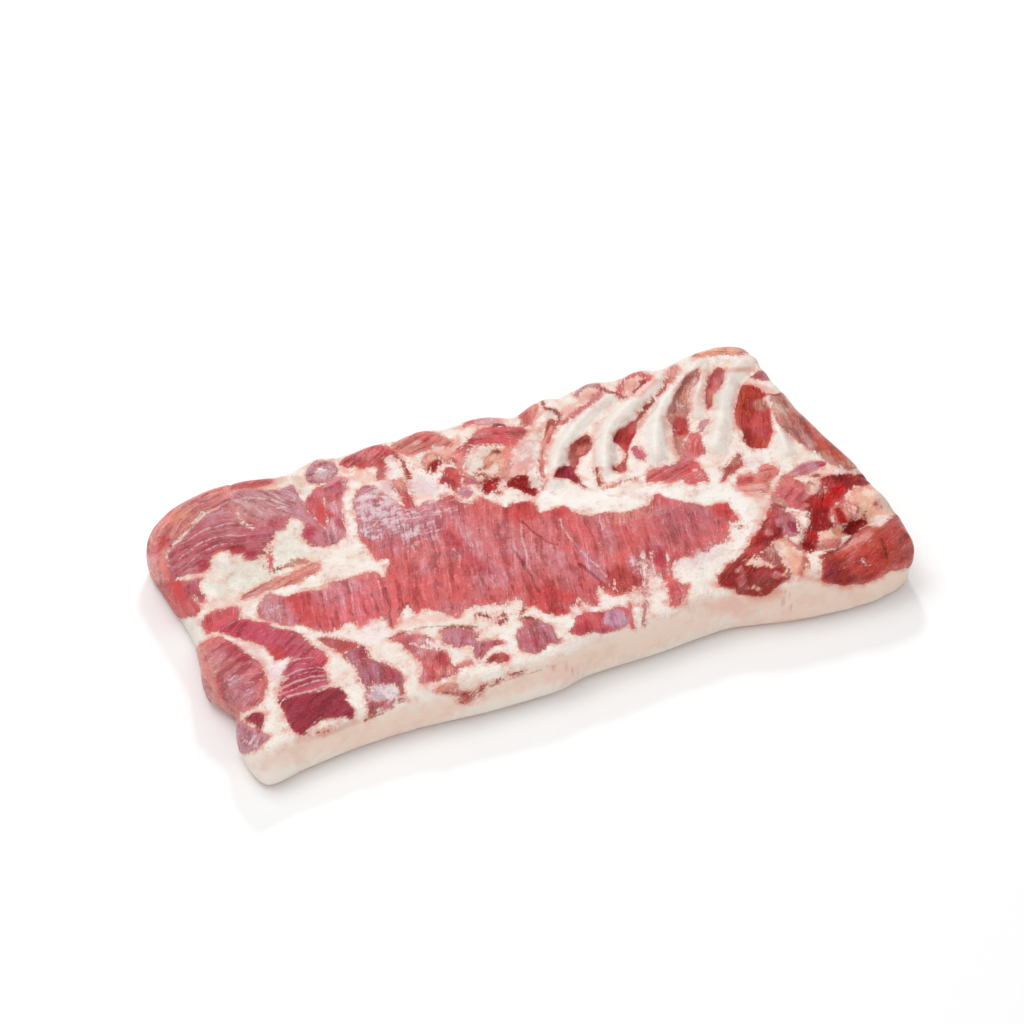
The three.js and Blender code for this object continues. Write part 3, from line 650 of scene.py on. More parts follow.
# Soft lines of colour that leave the tissue as it is.
WASHES = [
    Wash("lean", "blush rose", 5.0, 0.4, [(-46, 39), (-44, 11), (-43, -28)]),
    Wash("lean", "lavender", 3.0, 0.45, [(27, -42), (29, -66), (31, -82)]),
    Wash("lean", "crimson", 5.0, 0.5, [(-64, 27), (-53, -11), (-46, -36)]),
    Wash("lean", "blush rose", 4.0, 0.3, [(-14, 18), (-12, -9), (-10, -36), (-15, -65)]),
    Wash("fat", "milk", 7.0, 0.9, [
        (30, 26), (50, 10), (80, 2), (104, -4), (124, -14), (144, -24), (164, -34), (168, -52),
        (160, -74), (140, -92)]),
    Wash("fat", "tan rose", 3.5, 0.45, [(43, 60), (51, 74), (60, 87), (70, 98)]),
    Wash("fat", "salmon", 2.0, 0.35, [(80, 44), (86, 56), (93, 72), (104, 88)]),
    Wash("fat", "salmon", 1.6, 0.4, [(68, 30), (64, 42), (70, 48)]),
    Wash("fat", "salmon", 1.8, 0.35, [(119, 40), (126, 56), (135, 72), (147, 86)]),
    Wash("fat", "tan rose", 2.5, 0.5, [(146, 24), (148, 44), (154, 62), (158, 74)]),
    Wash("fat", "salmon", 1.8, 0.3, [(178, 60), (184, 70), (190, 80), (196, 92)]),
    Wash("fat", "salmon", 1.8, 0.3, [(192, 62), (196, 82), (208, 98)]),
    Wash("fat", "salmon", 1.8, 0.35, [(204, 20), (208, 44), (220, 70), (234, 86)]),
    # Painted shade: grey on the upper-left flank of a rib bar, beside its hollow.
    Wash("fat", "ash", 4.0, 0.5, [(206, 66), (218, 84), (232, 98)]),
    Wash("fat", "coral", 2.5, 0.6, [(140, 114), (150, 108), (160, 112), (172, 118)]),
    Wash("fat", "coral", 2.5, 0.6, [(134, 112), (144, 124), (152, 130)]),
    Wash("fat", "tan rose", 3.0, 0.5, [(232, 106), (242, 104), (254, 98)]),
    Wash("fat", "salmon", 3.0, 0.5, [(242, 84), (250, 76), (256, 66)]),
    Wash("fat", "salmon", 4.0, 0.6, [(108, -118), (124, -132), (130, -146), (148, -146)]),
    Wash("fat", "salmon", 3.0, 0.5, [(146, -92), (166, -76), (184, -58), (198, -46)]),
    Wash("fat", "salmon", 3.0, 0.6, [(160, -138), (176, -140), (186, -150), (200, -163)]),
    Wash("fat", "coral", 2.5, 0.5, [(176, -36), (190, -44), (206, -34)]),
    Wash("fat", "tan rose", 2.5, 0.45, [(-240, -141), (-220, -143), (-196, -140)]),
    Wash("fat", "tan rose", 0.8, 0.5, [(-46, -146), (-36, -151), (-28, -162)]),
    Wash("fat", "tan rose", 0.8, 0.5, [(138, -150), (145, -157), (149, -165)]),
    Wash("fat", "tan rose", 0.7, 0.4, [(153, -148), (157, -158)]),
]

# Soft changes of colour: tint, centre, radii, strength, and turn in degrees where it matters.
LEAN_STAINS = [
    ("pearl", (-218, -2), (8, 9), 0.25),
    ("peach", (238, 132), (22, 7), 0.75, -20),
    ("coral", (212, 90), (5, 12), 0.6, -40),
    ("dark meat", (207, 24), (5, 10), 0.5, -10),
    ("crimson", (-223, 62), (12, 5), 0.6),
    ("bright blood", (240, -66), (16, 7), 1.0, 35),
    ("bright blood", (222, -70), (8, 6), 0.8, 30),
    ("bright blood", (214, -86), (6, 9), 0.7, -30),
    ("bright blood", (246, -64), (7, 6), 0.9, 20),
    ("cherry", (243, -52), (6, 6), 0.6),
    ("scarlet", (224, -64), (6, 5), 0.6),
    ("pit", (220, -82), (6, 8), 0.6, -20),
    ("dark meat", (213, -76), (4, 7), 0.7, -30),
    ("dark meat", (260, -54), (10, 7), 0.7, -20),
    ("bright blood", (203, -101), (7, 5), 0.9, 50),
    ("dark meat", (192, -112), (5, 4), 0.8),
    ("scarlet", (240, -74), (5, 3), 0.6),
    ("salmon", (242, -88), (5, 10), 0.7, -25),
    ("cherry", (225, -92), (4, 6), 0.6),
    ("scarlet", (185, -66), (7, 6), 0.6, 50),
    ("cherry", (177, -75), (5, 3), 0.8, 60),
    ("bright blood", (163, -86), (9, 6), 0.7, 35),
    ("blood", (169, -91), (8, 5), 0.8, 20),
    ("salmon", (172, -84), (4, 3), 0.7, 20),
    ("scarlet", (152, -97), (9, 4), 0.6, 20),
    ("blood", (116, -118), (6, 5), 0.6, 40),
    ("blood", (122, -120), (5, 7), 0.6, -30),
    ("coral", (129, -122), (7, 4), 0.35, 40),
    ("salmon", (125, -130), (4, 4), 0.4),
    ("crimson", (148, -124), (8, 5), 0.6, -10),
    ("umber", (142, -131), (9, 7), 0.6),
    ("pit", (118, -112), (5, 4), 0.5, 40),
    ("coral", (132, -112), (5, 3), 0.6, 30),
    ("coral", (155, -128), (4, 3), 0.6),
    ("rust", (166, -126), (4, 9), 0.7),
    ("blush rose", (185, -78), (4, 6), 0.7),
    ("wine", (193, -86), (5, 6), 0.9),
    ("rust", (192, -67), (5, 5), 0.6),
    ("crimson", (247, -29), (6, 4), 0.9),
    ("rust", (231, -32), (6, 3), 0.7, 20),
    ("garnet", (200, -146), (9, 18), 0.9, -14),
    ("pit", (196, -148), (4, 10), 0.5, -14),
    ("scarlet", (222, -142), (12, 16), 0.5, -20),
    ("salmon", (237, -117), (12, 4), 0.5, 15),
    ("scarlet", (-30, 130), (8, 5), 0.5, 20),
    ("garnet", (-31, 126), (5, 2), 0.6, 30),
    ("salmon", (-54, 126), (7, 7), 0.8),
    ("rust", (-78, 105), (6, 9), 0.7, -20),
    ("scarlet", (-94, 122), (8, 7), 0.7),
    ("peach", (-36, 103), (4, 4), 0.8),
    ("wine", (-37, 73), (3, 5), 0.8),
    ("scarlet", (-26, 76), (5, 7), 0.7),
    ("bright blood", (-5, 54), (4, 4), 0.8, 40),
    ("crimson", (-1, 108), (6, 5), 0.8, 20),
    ("coral", (12, 114), (9, 6), 0.5),
    ("scarlet", (22, 104), (6, 7), 0.7),
    ("rust", (40, 104), (8, 6), 0.7),
    ("coral", (-16, 96), (6, 8), 0.6),
    ("peach", (13, 76), (4, 5), 0.8),
    ("apricot", (10, 85), (5, 3), 0.7, 30),
    ("rust", (52, 118), (4, 7), 0.6),
    ("crimson", (225, 28), (9, 9), 0.6),
    ("crimson", (232, 44), (7, 8), 0.8),
    ("dark meat", (212, 26), (5, 12), 0.6, -10),
    ("tan rose", (238, 58), (6, 8), 0.9),
    ("scarlet", (164, 56), (6, 8), 0.7, -30),
    ("scarlet", (124, 66), (5, 6), 0.5, 40),
    ("mauve", (-98, 58), (30, 44), 0.75, 12),
    ("scarlet", (-74, 62), (4, 18), 0.7),
    ("salmon", (-71, 86), (6, 8), 0.8),
    ("crimson", (-262, 36), (5, 7), 0.5),
    ("coral", (-262, 106), (17, 10), 0.9, 40),
    ("scarlet", (-266, 96), (12, 4), 0.7, 45),
    ("crimson", (-207, 56), (6, 5), 0.8),
    ("crimson", (-244, 60), (7, 5), 0.9, 20),
    ("crimson", (-216, 66), (8, 5), 0.9),
    ("deep rose", (-200, 76), (14, 8), 0.7),
    ("crimson", (-158, 60), (6, 8), 0.8),
    ("crimson", (-178, 83), (8, 5), 0.7, 20),
    ("mauve", (-165, 105), (16, 14), 0.8),
    ("mauve", (-186, 112), (14, 12), 0.6),
    ("mauve", (-148, 50), (10, 9), 0.7),
    ("deep rose", (-118, 100), (8, 9), 0.9, 30),
    ("crimson", (-130, 58), (4, 10), 0.6, 15),
    ("scarlet", (-228, -54), (9, 8), 0.7),
    ("cherry", (-197, -68), (6, 12), 0.7),
    ("salmon", (-273, -40), (6, 22), 0.8, 8),
    ("mauve", (-262, -78), (12, 16), 0.6),
    ("mauve", (-264, -48), (10, 22), 0.5, 8),
    ("crimson", (-250, -40), (8, 18), 0.7, 10),
    ("coral", (-283, -56), (7, 18), 0.9),
    ("scarlet", (-141, 86), (7, 18), 0.95, 8),
    ("mauve", (-58, 44), (15, 14), 0.6),
    ("blush rose", (-190, 106), (15, 12), 0.35),
    ("tan rose", (-184, 104), (28, 18), 0.4, -20),
    ("blush rose", (-273, 84), (8, 12), 0.4),
    ("peach", (-240, 122), (9, 6), 0.4, 35),
    ("blush rose", (-120, -100), (8, 12), 0.4),
    ("peach", (-118, -145), (8, 8), 0.35),
    ("coral", (-80, 126), (11, 8), 0.4),
    ("coral", (212, -50), (8, 11), 0.45),
    ("cherry", (240, -54), (9, 5), 0.6),
    ("blush rose", (2, -20), (30, 22), 0.25),
    ("wine", (-213, -85), (14, 8), 0.5),
    ("peach", (-242, 124), (10, 5), 0.4, 35),
    ("rust", (256, 22), (7, 12), 0.45),
    ("scarlet", (-128, 92), (5, 8), 0.6, 20),
    ("terracotta", (-242, 122), (14, 7), 0.7, 35),
    ("crimson", (-166, -82), (7, 9), 0.6),
    ("crimson", (-154, -106), (5, 9), 0.5),
    ("crimson", (-114, -108), (7, 6), 0.6),
    ("blush rose", (-128, -88), (6, 9), 0.7),
    ("dark meat", (119, 62), (7, 15), 0.45, 35),
    ("brick", (162, -108), (6, 6), 0.5),
    ("blood", (213, -95), (8, 8), 0.9),
    ("peach", (247, 46), (5, 8), 0.6),
    ("tan rose", (184, 4), (8, 8), 0.7),
    ("peach", (192, 94), (7, 14), 0.5, -32),
    ("coral", (218, -122), (12, 4), 0.5, 10),
    ("coral", (-112, -121), (10, 6), 0.9),
    ("crimson", (-132, -86), (5, 8), 0.6),
    ("scarlet", (-190, -14), (13, 22), 0.75, 15),
    ("scarlet", (-182, -38), (12, 8), 0.7, -20),
    ("coral", (-145, -2), (24, 5), 0.6),
    ("blush rose", (-213, -8), (12, 16), 0.9, 20),
    ("blush rose", (-78, 2), (20, 16), 0.4),
    ("cherry", (-46, 40), (8, 22), 0.7, 10),
    ("blush rose", (-40, 0), (12, 26), 0.35, 12),
    ("scarlet", (6, 18), (14, 12), 0.95, -20),
    ("scarlet", (33, 4), (9, 7), 0.7),
    ("scarlet", (-16, -84), (15, 22), 0.95, 12),
    ("scarlet", (8, -88), (10, 12), 0.6),
    ("brick", (44, -86), (14, 14), 0.85),
    ("coral", (84, -22), (26, 8), 0.8, -4),
    ("crimson", (82, -74), (8, 12), 0.8, 20),
    ("brick", (60, -46), (18, 8), 0.4),
    ("dusk", (118, -50), (26, 20), 0.45),
    ("scarlet", (150, -47), (8, 9), 0.8),
    ("cherry", (110, -16), (6, 8), 0.8),
    ("lavender", (22, -121), (10, 11), 1.0),
    ("crimson", (-5, -121), (8, 6), 0.6),
    ("crimson", (-42, -120), (8, 8), 0.25),
    ("mauve", (-46, -104), (9, 10), 0.5),
    ("brick", (-113, -150), (5, 4), 0.6),
    ("salmon", (-44, 121), (7, 5), 0.7, 20),
    ("brick", (-96, 121), (9, 6), 0.6),
    ("salmon", (82, 66), (7, 7), 0.8, 40),
    ("salmon", (196, 103), (14, 7), 0.6, 50),
    ("scarlet", (217, 99), (10, 5), 0.6, 60),
    ("scarlet", (226, 40), (9, 20), 0.55, 62),
    ("meat", (264, -8), (8, 24), 0.85, 5),
    ("scarlet", (144, 10), (8, 7), 0.5),
    ("scarlet", (183, -22), (7, 5), 0.8, -10),
    ("salmon", (187, -31), (9, 4), 0.8, -15),
    ("coral", (216, -40), (6, 5), 0.6),
    ("coral", (228, -121), (16, 5), 0.8, 15),
    ("brick", (264, -128), (16, 22), 0.7),
    ("wine", (193, -146), (6, 14), 0.7, -20),
    ("coral", (240, -158), (16, 4), 0.6),
]

FAT_STAINS = [
    ("blush rose", (-82, 80), (6, 14), 0.5, -12),
    ("lilac", (-82, 80), (7, 12), 0.4, -12),
    ("peach", (11, 94), (8, 4), 0.7, 20),
    ("salmon", (246, -86), (6, 14), 0.8, -25),
    ("apricot", (254, -90), (5, 9), 0.7, -10),
    ("ash", (272, -90), (6, 12), 0.8),
    ("coral", (264, -67), (9, 4), 0.7),
    ("blush", (212, -104), (7, 4), 0.6, 20),
    ("ivory", (172, -104), (5, 9), 0.9),
    ("coral", (182, -122), (4, 10), 0.5, 20),
    ("salmon", (112, -142), (16, 7), 0.6, -20),
    ("ash", (8, 93), (9, 5), 0.6, 10),
    ("ash", (34, 74), (8, 16), 0.6, -22),
    ("cream", (-60, 104), (14, 22), 0.6),
    ("cream", (-11, 82), (7, 12), 0.6),
    ("pearl", (-46, 72), (10, 12), 0.6),
    ("salmon", (-92, 113), (12, 8), 0.55),
    ("coral", (-99, 90), (3, 9), 0.8, -10),
    ("rust", (-94, 82), (3, 4), 0.5),
    ("coral", (-106, 112), (4, 6), 0.5, -20),
    ("lilac", (-70, 108), (6, 14), 0.6, -30),
    ("blush", (-57, 100), (8, 18), 0.6, -8),
    ("salmon", (-62, 100), (4, 16), 0.6, -6),
    ("lilac", (-58, 76), (12, 14), 0.5),
    ("blush", (-62, 62), (10, 5), 0.8),
    ("salmon", (-50, 118), (14, 5), 0.5),
    ("salmon", (-30, 104), (10, 9), 0.6),
    ("apricot", (-22, 80), (5, 20), 0.7, -10),
    ("salmon", (-14, 112), (5, 14), 0.6, -38),
    ("salmon", (8, 129), (12, 4), 0.7, -4),
    ("coral", (27, 123), (9, 7), 0.8, -20),
    ("salmon", (46, 106), (16, 8), 0.6, -10),
    ("blush rose", (30, 72), (10, 26), 0.55, -22),
    ("blush", (26, 86), (5, 12), 0.6, -24),
    ("coral", (36, 68), (3, 10), 0.5, -24),
    ("salmon", (24, 60), (4, 12), 0.7, -20),
    ("salmon", (12, 58), (12, 5), 0.5, 20),
    ("blush rose", (-12, 60), (8, 8), 0.5),
    ("salmon", (112, 124), (13, 5), 0.6, 28),
    ("salmon", (88, 112), (12, 6), 0.5, 30),
    ("blush rose", (104, 108), (22, 5), 0.5, 28),
    ("salmon", (155, 120), (11, 8), 0.7, 20),
    ("salmon", (184, 118), (14, 6), 0.6, 35),
    ("salmon", (-168, 128), (26, 5), 0.75, -6),
    ("salmon", (-146, 122), (6, 8), 0.5),
    ("cream", (-206, 40), (48, 22), 1.0),
    ("cream", (-172, 66), (12, 16), 0.6),
    ("apricot", (-176, 31), (14, 6), 0.8, 10),
    ("blush", (-240, 44), (7, 8), 0.5),
    ("blush", (-250, 16), (12, 5), 0.4),
    ("cream", (-152, 118), (12, 12), 0.7),
    ("blush", (-96, 104), (14, 12), 0.6),
    ("pearl", (-150, -60), (14, 12), 0.7),
    ("blush", (-110, -64), (30, 6), 0.7, -8),
    ("blush", (-60, -80), (20, 6), 0.4, -8),
    ("blush rose", (-241, -52), (6, 40), 0.3, 8),
    ("cream", (2, 82), (13, 16), 0.7),
    ("blush", (16, 127), (16, 7), 0.8, -8),
    ("blush", (4, 66), (14, 8), 0.5, 20),
    ("blush", (60, 84), (6, 16), 0.4, -30),
    ("blush", (150, 100), (14, 5), 0.7, 32),
    ("blush", (128, 124), (10, 6), 0.5),
    ("blush", (206, 88), (6, 16), 0.4, -30),
    ("blush", (240, 106), (20, 12), 0.55),
    ("blush", (182, 10), (14, 20), 0.35),
    ("blush", (184, -44), (10, 6), 0.4),
    ("lilac", (200, -4), (8, 6), 0.3),
    ("lilac", (112, -88), (20, 6), 0.5),
    ("blush", (60, -100), (16, 12), 0.35),
    ("pearl", (8, -101), (30, 4), 0.6),
    ("side fat", (-180, -152), (112, 12), 1.0),
    ("side fat", (-10, -152), (112, 12), 1.0),
    ("side fat", (70, -140), (80, 12), 0.7),
    ("side fat", (180, -168), (90, 16), 1.0),
    ("side fat", (140, -152), (60, 8), 1.0),
    ("blush", (106, -144), (14, 9), 0.7, -20),
    ("blush", (-40, -158), (16, 8), 0.4),
    ("ivory", (190, -126), (7, 14), 0.8, -20),
]

# Veils of silverskin over the lean: centre, radii, strength, and turn where it matters.
VEILS = [
    ((-99, 84), (15, 8), 0.95, 20),
    ((-84, 69), (9, 13), 0.9, -20),
    ((-108, 64), (9, 15), 0.85),
    ((-112, 44), (9, 14), 0.8),
    ((-92, 50), (14, 10), 0.8, 30),
    ((-73, 46), (14, 10), 0.75),
    ((-57, 50), (8, 12), 0.45, 10),
    ((-86, 32), (14, 12), 0.7),
    ((-96, 60), (12, 14), 0.85),
    ((-70, 26), (14, 14), 0.4),
    ((-90, 16), (10, 10), 0.35),
    ((-42, 40), (14, 14), 0.35),
    ((-190, 108), (26, 14), 0.25, -10),
    ((-162, 98), (13, 14), 0.35),
    ((-122, 122), (12, 10), 0.6),
    ((-214, -6), (12, 12), 0.35),
    ((-264, -66), (8, 8), 0.4),
    ((-264, -82), (12, 14), 0.2),
    ((-272, -128), (8, 8), 0.8),
    ((-172, -90), (10, 12), 0.2, 10),
    ((-120, -92), (10, 12), 0.4),
    ((64, -78), (12, 14), 0.6, 14),
    ((114, -80), (18, 6), 0.4, 8),
    ((172, 84), (14, 12), 0.4, 40),
    ((-22, 56), (8, 6), 0.4),
]

# Where the cutter has left the flesh torn and speckled, in the same way.
TORN = [
    ((-22, 84), (72, 42), 1.0),
    ((206, -88), (76, 56), 0.6, 24),
    ((170, 70), (22, 56), 0.7, -35),
    ((240, 56), (20, 20), 0.6),
    ((226, 44), (12, 28), 0.9, 28),
    ((-186, 96), (34, 34), 0.5),
    ((-196, 44), (46, 18), 0.6),
    ((-222, -84), (24, 18), 0.5),
    ((-60, -80), (50, 18), 0.8),
    ((50, -94), (56, 16), 0.9),
    ((138, -76), (34, 16), 0.8, 24),
    ((-150, -50), (50, 10), 0.6),
    ((-166, -96), (18, 34), 0.6, -8),
    ((-118, -100), (20, 26), 0.5),
    ((248, -130), (38, 24), 0.5, 8),
    ((184, 2), (14, 12), 0.7),
]

# Layers of lean in the walls that the sheet isn't drawn for, from the skin up: height as a
# share of the wall, and thickness.
CUT_LAYERS = [(0.52, 5.0), (0.86, 9.0)]
CUT_HEIGHTS = (20, 60)  # least and greatest height of a wall that the layers are spread over
CUT_FADE = (0.86, 0.74)  # shares of the wall's height where the layers begin and are full
CUT_FACING = 0.02  # how far a wall may still face the sheet's eye where the layers begin
CUT_LAG = 0.35  # how much later they begin at a wall's top than at its foot
CUT_SOFT = 0.25  # how far the wall turns on until they are full
CUT_COVER = 0.85  # how well their own colours cover the sheet's
UNDER_FADE = (2.5, 0.5)  # heights where the plain fat behind the skin begins and is full

REACH = 14.0  # how far out from a patch or a line its depth is worked out
GRAIN_RIM = 3  # how far out past its edge a patch turns the fibres its own way
PLAIN_GRAIN = 72  # the fibres' angle before any patch is laid
PLAIN_PUFF = 0.6  # how far lean stands out there
DRAWN_STEPS = 4  # points of a drawn curve for each stretch between its own points
STAIN_MARGIN = 8  # how far past its ellipse a stain is worked out
BAR_SPREAD = 2.2  # how far down its flanks a rib bar is smooth

# Relief of the flesh
SET_IN = 0.5  # how far plain fat lies inside the frame's solid
PUFF_EDGE = 3.0  # how gently a muscle rises from its edge
SINEW_HEIGHT = 0.35
CREASE_DEPTH = 0.7
FIBRE_CELL = (30, 4)
FIBRE_HEIGHT = 0.16
SKIN_HEIGHT = 3.5  # how far up the walls the skin shows


# --- small sums ---------------------------------------------------------------------------

TINY = 1e-9
SCATTER = (127.1, 311.7, 43758.5453)  # large and unrelated, so that neighbours differ
EVERYWHERE = slice(None)


def mix(a, b, share):
    return a + (b - a) * share


def smooth(share):
    share = np.clip(share, 0.0, 1.0)
    return share * share * (3 - 2 * share)


def ramp(value, start, full):
    """0 as far as the start, then smoothly up to 1 at full."""
    return smooth((value - start) / (full - start))


def lattice(i, j):
    """A repeatable random number from 0 to 1 for each lattice point."""
    scattered = np.sin(i * SCATTER[0] + j * SCATTER[1]) * SCATTER[2]
    return scattered - np.floor(scattered)


def noise(x, y):
    """Smooth noise from -1 to 1 between the lattice points."""
    i, j = np.floor(x), np.floor(y)
    u, v = smooth(x - i), smooth(y - j)
    near = mix(lattice(i, j), lattice(i + 1, j), u)
    far = mix(lattice(i, j + 1), lattice(i + 1, j + 1), u)
    return 2 * mix(near, far, v) - 1


def waves(x, y, cell, high, shift=(0, 0)):
    """Noise of one cell size and height, shifted to differ from another of the same size."""
    return high * noise(x / cell + shift[0], y / cell + shift[1])


def distance_to_line(x, y, line):
    nearest = np.full(np.shape(x), np.inf)
    for (ax, ay), (bx, by) in zip(line, line[1:]):
        dx, dy = bx - ax, by - ay
        share = np.clip(((x - ax) * dx + (y - ay) * dy) / max(dx * dx + dy * dy, TINY), 0, 1)
        nearest = np.minimum(nearest, np.hypot(x - ax - share * dx, y - ay - share * dy))
    return nearest


def hump(distance, half):
    """1 on a line, and down to 0 at half its width away."""
    return np.where(distance < half, np.cos(distance / half * math.pi / 2) ** 2, 0.0)


def curve_through(points, closed, steps):
    """Centripetal Catmull-Rom curve through the points, `steps` to each stretch."""
    points = np.array(points, float)
    if closed:
        before, after = np.roll(points, 1, 0), np.roll(points, -1, 0)
        beyond = np.roll(points, -2, 0)
        start = points
    else:
        start, after = points[:-1], points[1:]
        before = np.vstack([2 * points[0] - points[1], points[:-2]])
        beyond = np.vstack([points[2:], 2 * points[-1] - points[-2]])
    knots = [
        np.maximum(np.hypot(*(b - a).T) ** 0.5, TINY)[:, None]
        for a, b in ((before, start), (start, after), (after, beyond))
    ]
    leave = (start - before) / knots[0] - (after - before) / (knots[0] + knots[1])
    leave = (leave + (after - start) / knots[1]) * knots[1]
    arrive = (after - start) / knots[1] - (beyond - start) / (knots[1] + knots[2])
    arrive = (arrive + (beyond - after) / knots[2]) * knots[1]
    samples = []
    for share in np.arange(steps) / steps:
        cube, square = share ** 3, share ** 2
        samples.append(
            (2 * cube - 3 * square + 1) * start + (cube - 2 * square + share) * leave
            + (3 * square - 2 * cube) * after + (cube - square) * arrive
        )
    curve = np.stack(samples, 1).reshape(-1, 2)
    return curve if closed else np.vstack([curve, points[-1]])


def depth_inside(x, y, outline):
    """Distance from the outline, more than 0 inside it."""
    inside = np.zeros(np.shape(x), bool)
    for (ax, ay), (bx, by) in zip(outline, np.roll(outline, -1, 0)):
        crosses = (ay > y) != (by > y)
        if ay != by:
            inside ^= crosses & (x < (bx - ax) * (y - ay) / (by - ay) + ax)
    distance = distance_to_line(x, y, np.vstack([outline, outline[:1]]))
    return np.where(inside, distance, -distance)


def in_ellipse(x, y, at, radii, turn):
    """0 on an ellipse's rim, 1 at its centre, less than 0 outside."""
    cos, sin = math.cos(math.radians(turn)), math.sin(math.radians(turn))
    dx, dy = x - at[0], y - at[1]
    return 1 - np.hypot((dx * cos + dy * sin) / radii[0], (dy * cos - dx * sin) / radii[1])


# --- the slab's shape ---------------------------------------------------------------------

def side_curve(name):
    """One side of the outline as a function of the share of its length, 0 to 1."""
    steps = 60
    names = list(OUTLINE)
    whole = curve_through([point for side in names for point in OUTLINE[side]], True, steps)
    first = steps * sum(len(OUTLINE[side]) for side in names[:names.index(name)])
    last = first + steps * len(OUTLINE[name])
    points = whole[np.arange(first, last + 1) % len(whole)]
    lengths = np.concatenate([[0], np.cumsum(np.hypot(*np.diff(points, axis=0).T))])
    lengths /= lengths[-1]
    return lambda share: np.stack([np.interp(share, lengths, points[:, k]) for k in (0, 1)], -1)


class Plan:
    """The footprint as a Coons patch over its four sides."""

    def __init__(self):
        self.front, self.right = side_curve("front"), side_curve("right")
        back, left = side_curve("back"), side_curve("left")
        self.back = lambda share: back(1 - share)
        self.left = lambda share: left(1 - share)

    def __call__(self, s, t):
        s, t = np.asarray(s, float)[..., None], np.asarray(t, float)[..., None]
        point = (1 - t) * self.front(s[..., 0]) + t * self.back(s[..., 0])
        point += (1 - s) * self.left(t[..., 0]) + s * self.right(t[..., 0])
        point -= (1 - s) * (1 - t) * self.front(0.0) + s * (1 - t) * self.front(1.0)
        return point - (1 - s) * t * self.back(0.0) - s * t * self.back(1.0)


def thickness_at(s, t):
    """Thickness of the smooth slab, with the whole crown in its middle."""
    front = mix(THICKNESS["front_left"], THICKNESS["front_right"], smooth(s))
    back = mix(THICKNESS["back_left"], THICKNESS["back_right"], smooth(s))
    middle = 16 * s * (1 - s) * t * (1 - t)  # 1 in the middle, 0 on the sides
    return mix(front, back, t) + CROWN * middle


def relief(x, y):
    """Height of the bars, hollows, swellings and lumps over the smooth slab."""
    height = np.max([r.high * hump(distance_to_line(x, y, r.line), r.half) for r in RIB_BARS], 0)
    for hollow in HOLLOWS:
        height -= hollow.high * hump(distance_to_line(x, y, hollow.line), hollow.half)
    for s in SWELLINGS:
        height += s.high * smooth(SWELLING_RISE * in_ellipse(x, y, s.at, s.radii, s.turn))
    for cell, high in LUMPS:
        height += waves(x, y, cell, high)
    return height


def wall_rows(reach, top, drop):
    """How far out and how high each row of the wall stands, from the top edge down."""
    rows = [
        (reach * np.cos(angle), top - drop * (1 - np.sin(angle)))
        for angle in np.radians(TOP_ROUND_ANGLES)
    ]
    rows += [(reach, mix(BOTTOM_ROUND, top - drop, share)) for share in WALL_SHARES]
    rows += [
        (reach - BOTTOM_ROUND * (1 - np.cos(angle)), BOTTOM_ROUND * (1 - np.sin(angle)))
        for angle in np.radians(FOOT_ROUND_ANGLES)
    ]
    return rows + [(reach - BOTTOM_ROUND - FOOT_INSET, 0.0)]


def slab_points(u, v, row, length, width):
    """Places of the skin's points: u and v over the top, and the row down the wall.

    Also gives how far up its wall each point stands, 0 to 1.
    """
    plan = Plan()
    front_round = mix(EDGE_ROUND["front"], SHOULDER_ROUND, ramp(u, *SHOULDER_FROM))
    s = mix(EDGE_ROUND["left"] / length, 1 - EDGE_ROUND["right"] / length, u)
    t = mix(front_round / width, 1 - EDGE_ROUND["back"] / width, v)
    inner = plan(s, t)
    top = thickness_at(s, t) + relief(inner[:, 0], inner[:, 1])
    outward = plan(u, v) - inner
    reach = np.maximum(np.hypot(*outward.T), TINY)
    outward /= reach[:, None]
    drop = np.minimum(EDGE_DROP * top, EDGE_DEPTH * reach)

    out, z = np.zeros_like(top), top.copy()
    for n, (row_out, row_z) in enumerate(wall_rows(reach, top, drop), 1):
        out = np.where(row == n, row_out, out)
        z = np.where(row == n, row_z, z)
    share = np.clip(z / top, 0, 1)
    slope = BACK_SLOPE * np.maximum(0, outward[:, 1]) ** 2 * (1 - share)
    belly = WALL_BULGE * np.sin(math.pi * share) * smooth(out / reach)
    far = np.where(row > 0, out + slope + belly, 0.0)
    return np.column_stack([inner + outward * far[:, None], z]), share


# --- the flesh on it ----------------------------------------------------------------------

def on_sheet(points):
    """Where the sheet's drawing falls on the slab's points."""
    eye = np.array(SHEET_EYE)
    share = (eye[2] - SHEET_HEIGHT) / (eye[2] - points[:, 2])
    return (eye[:2] + (points[:, :2] - eye[:2]) * share[:, None]).T


def tint(name):
    return np.array(TINTS[name])


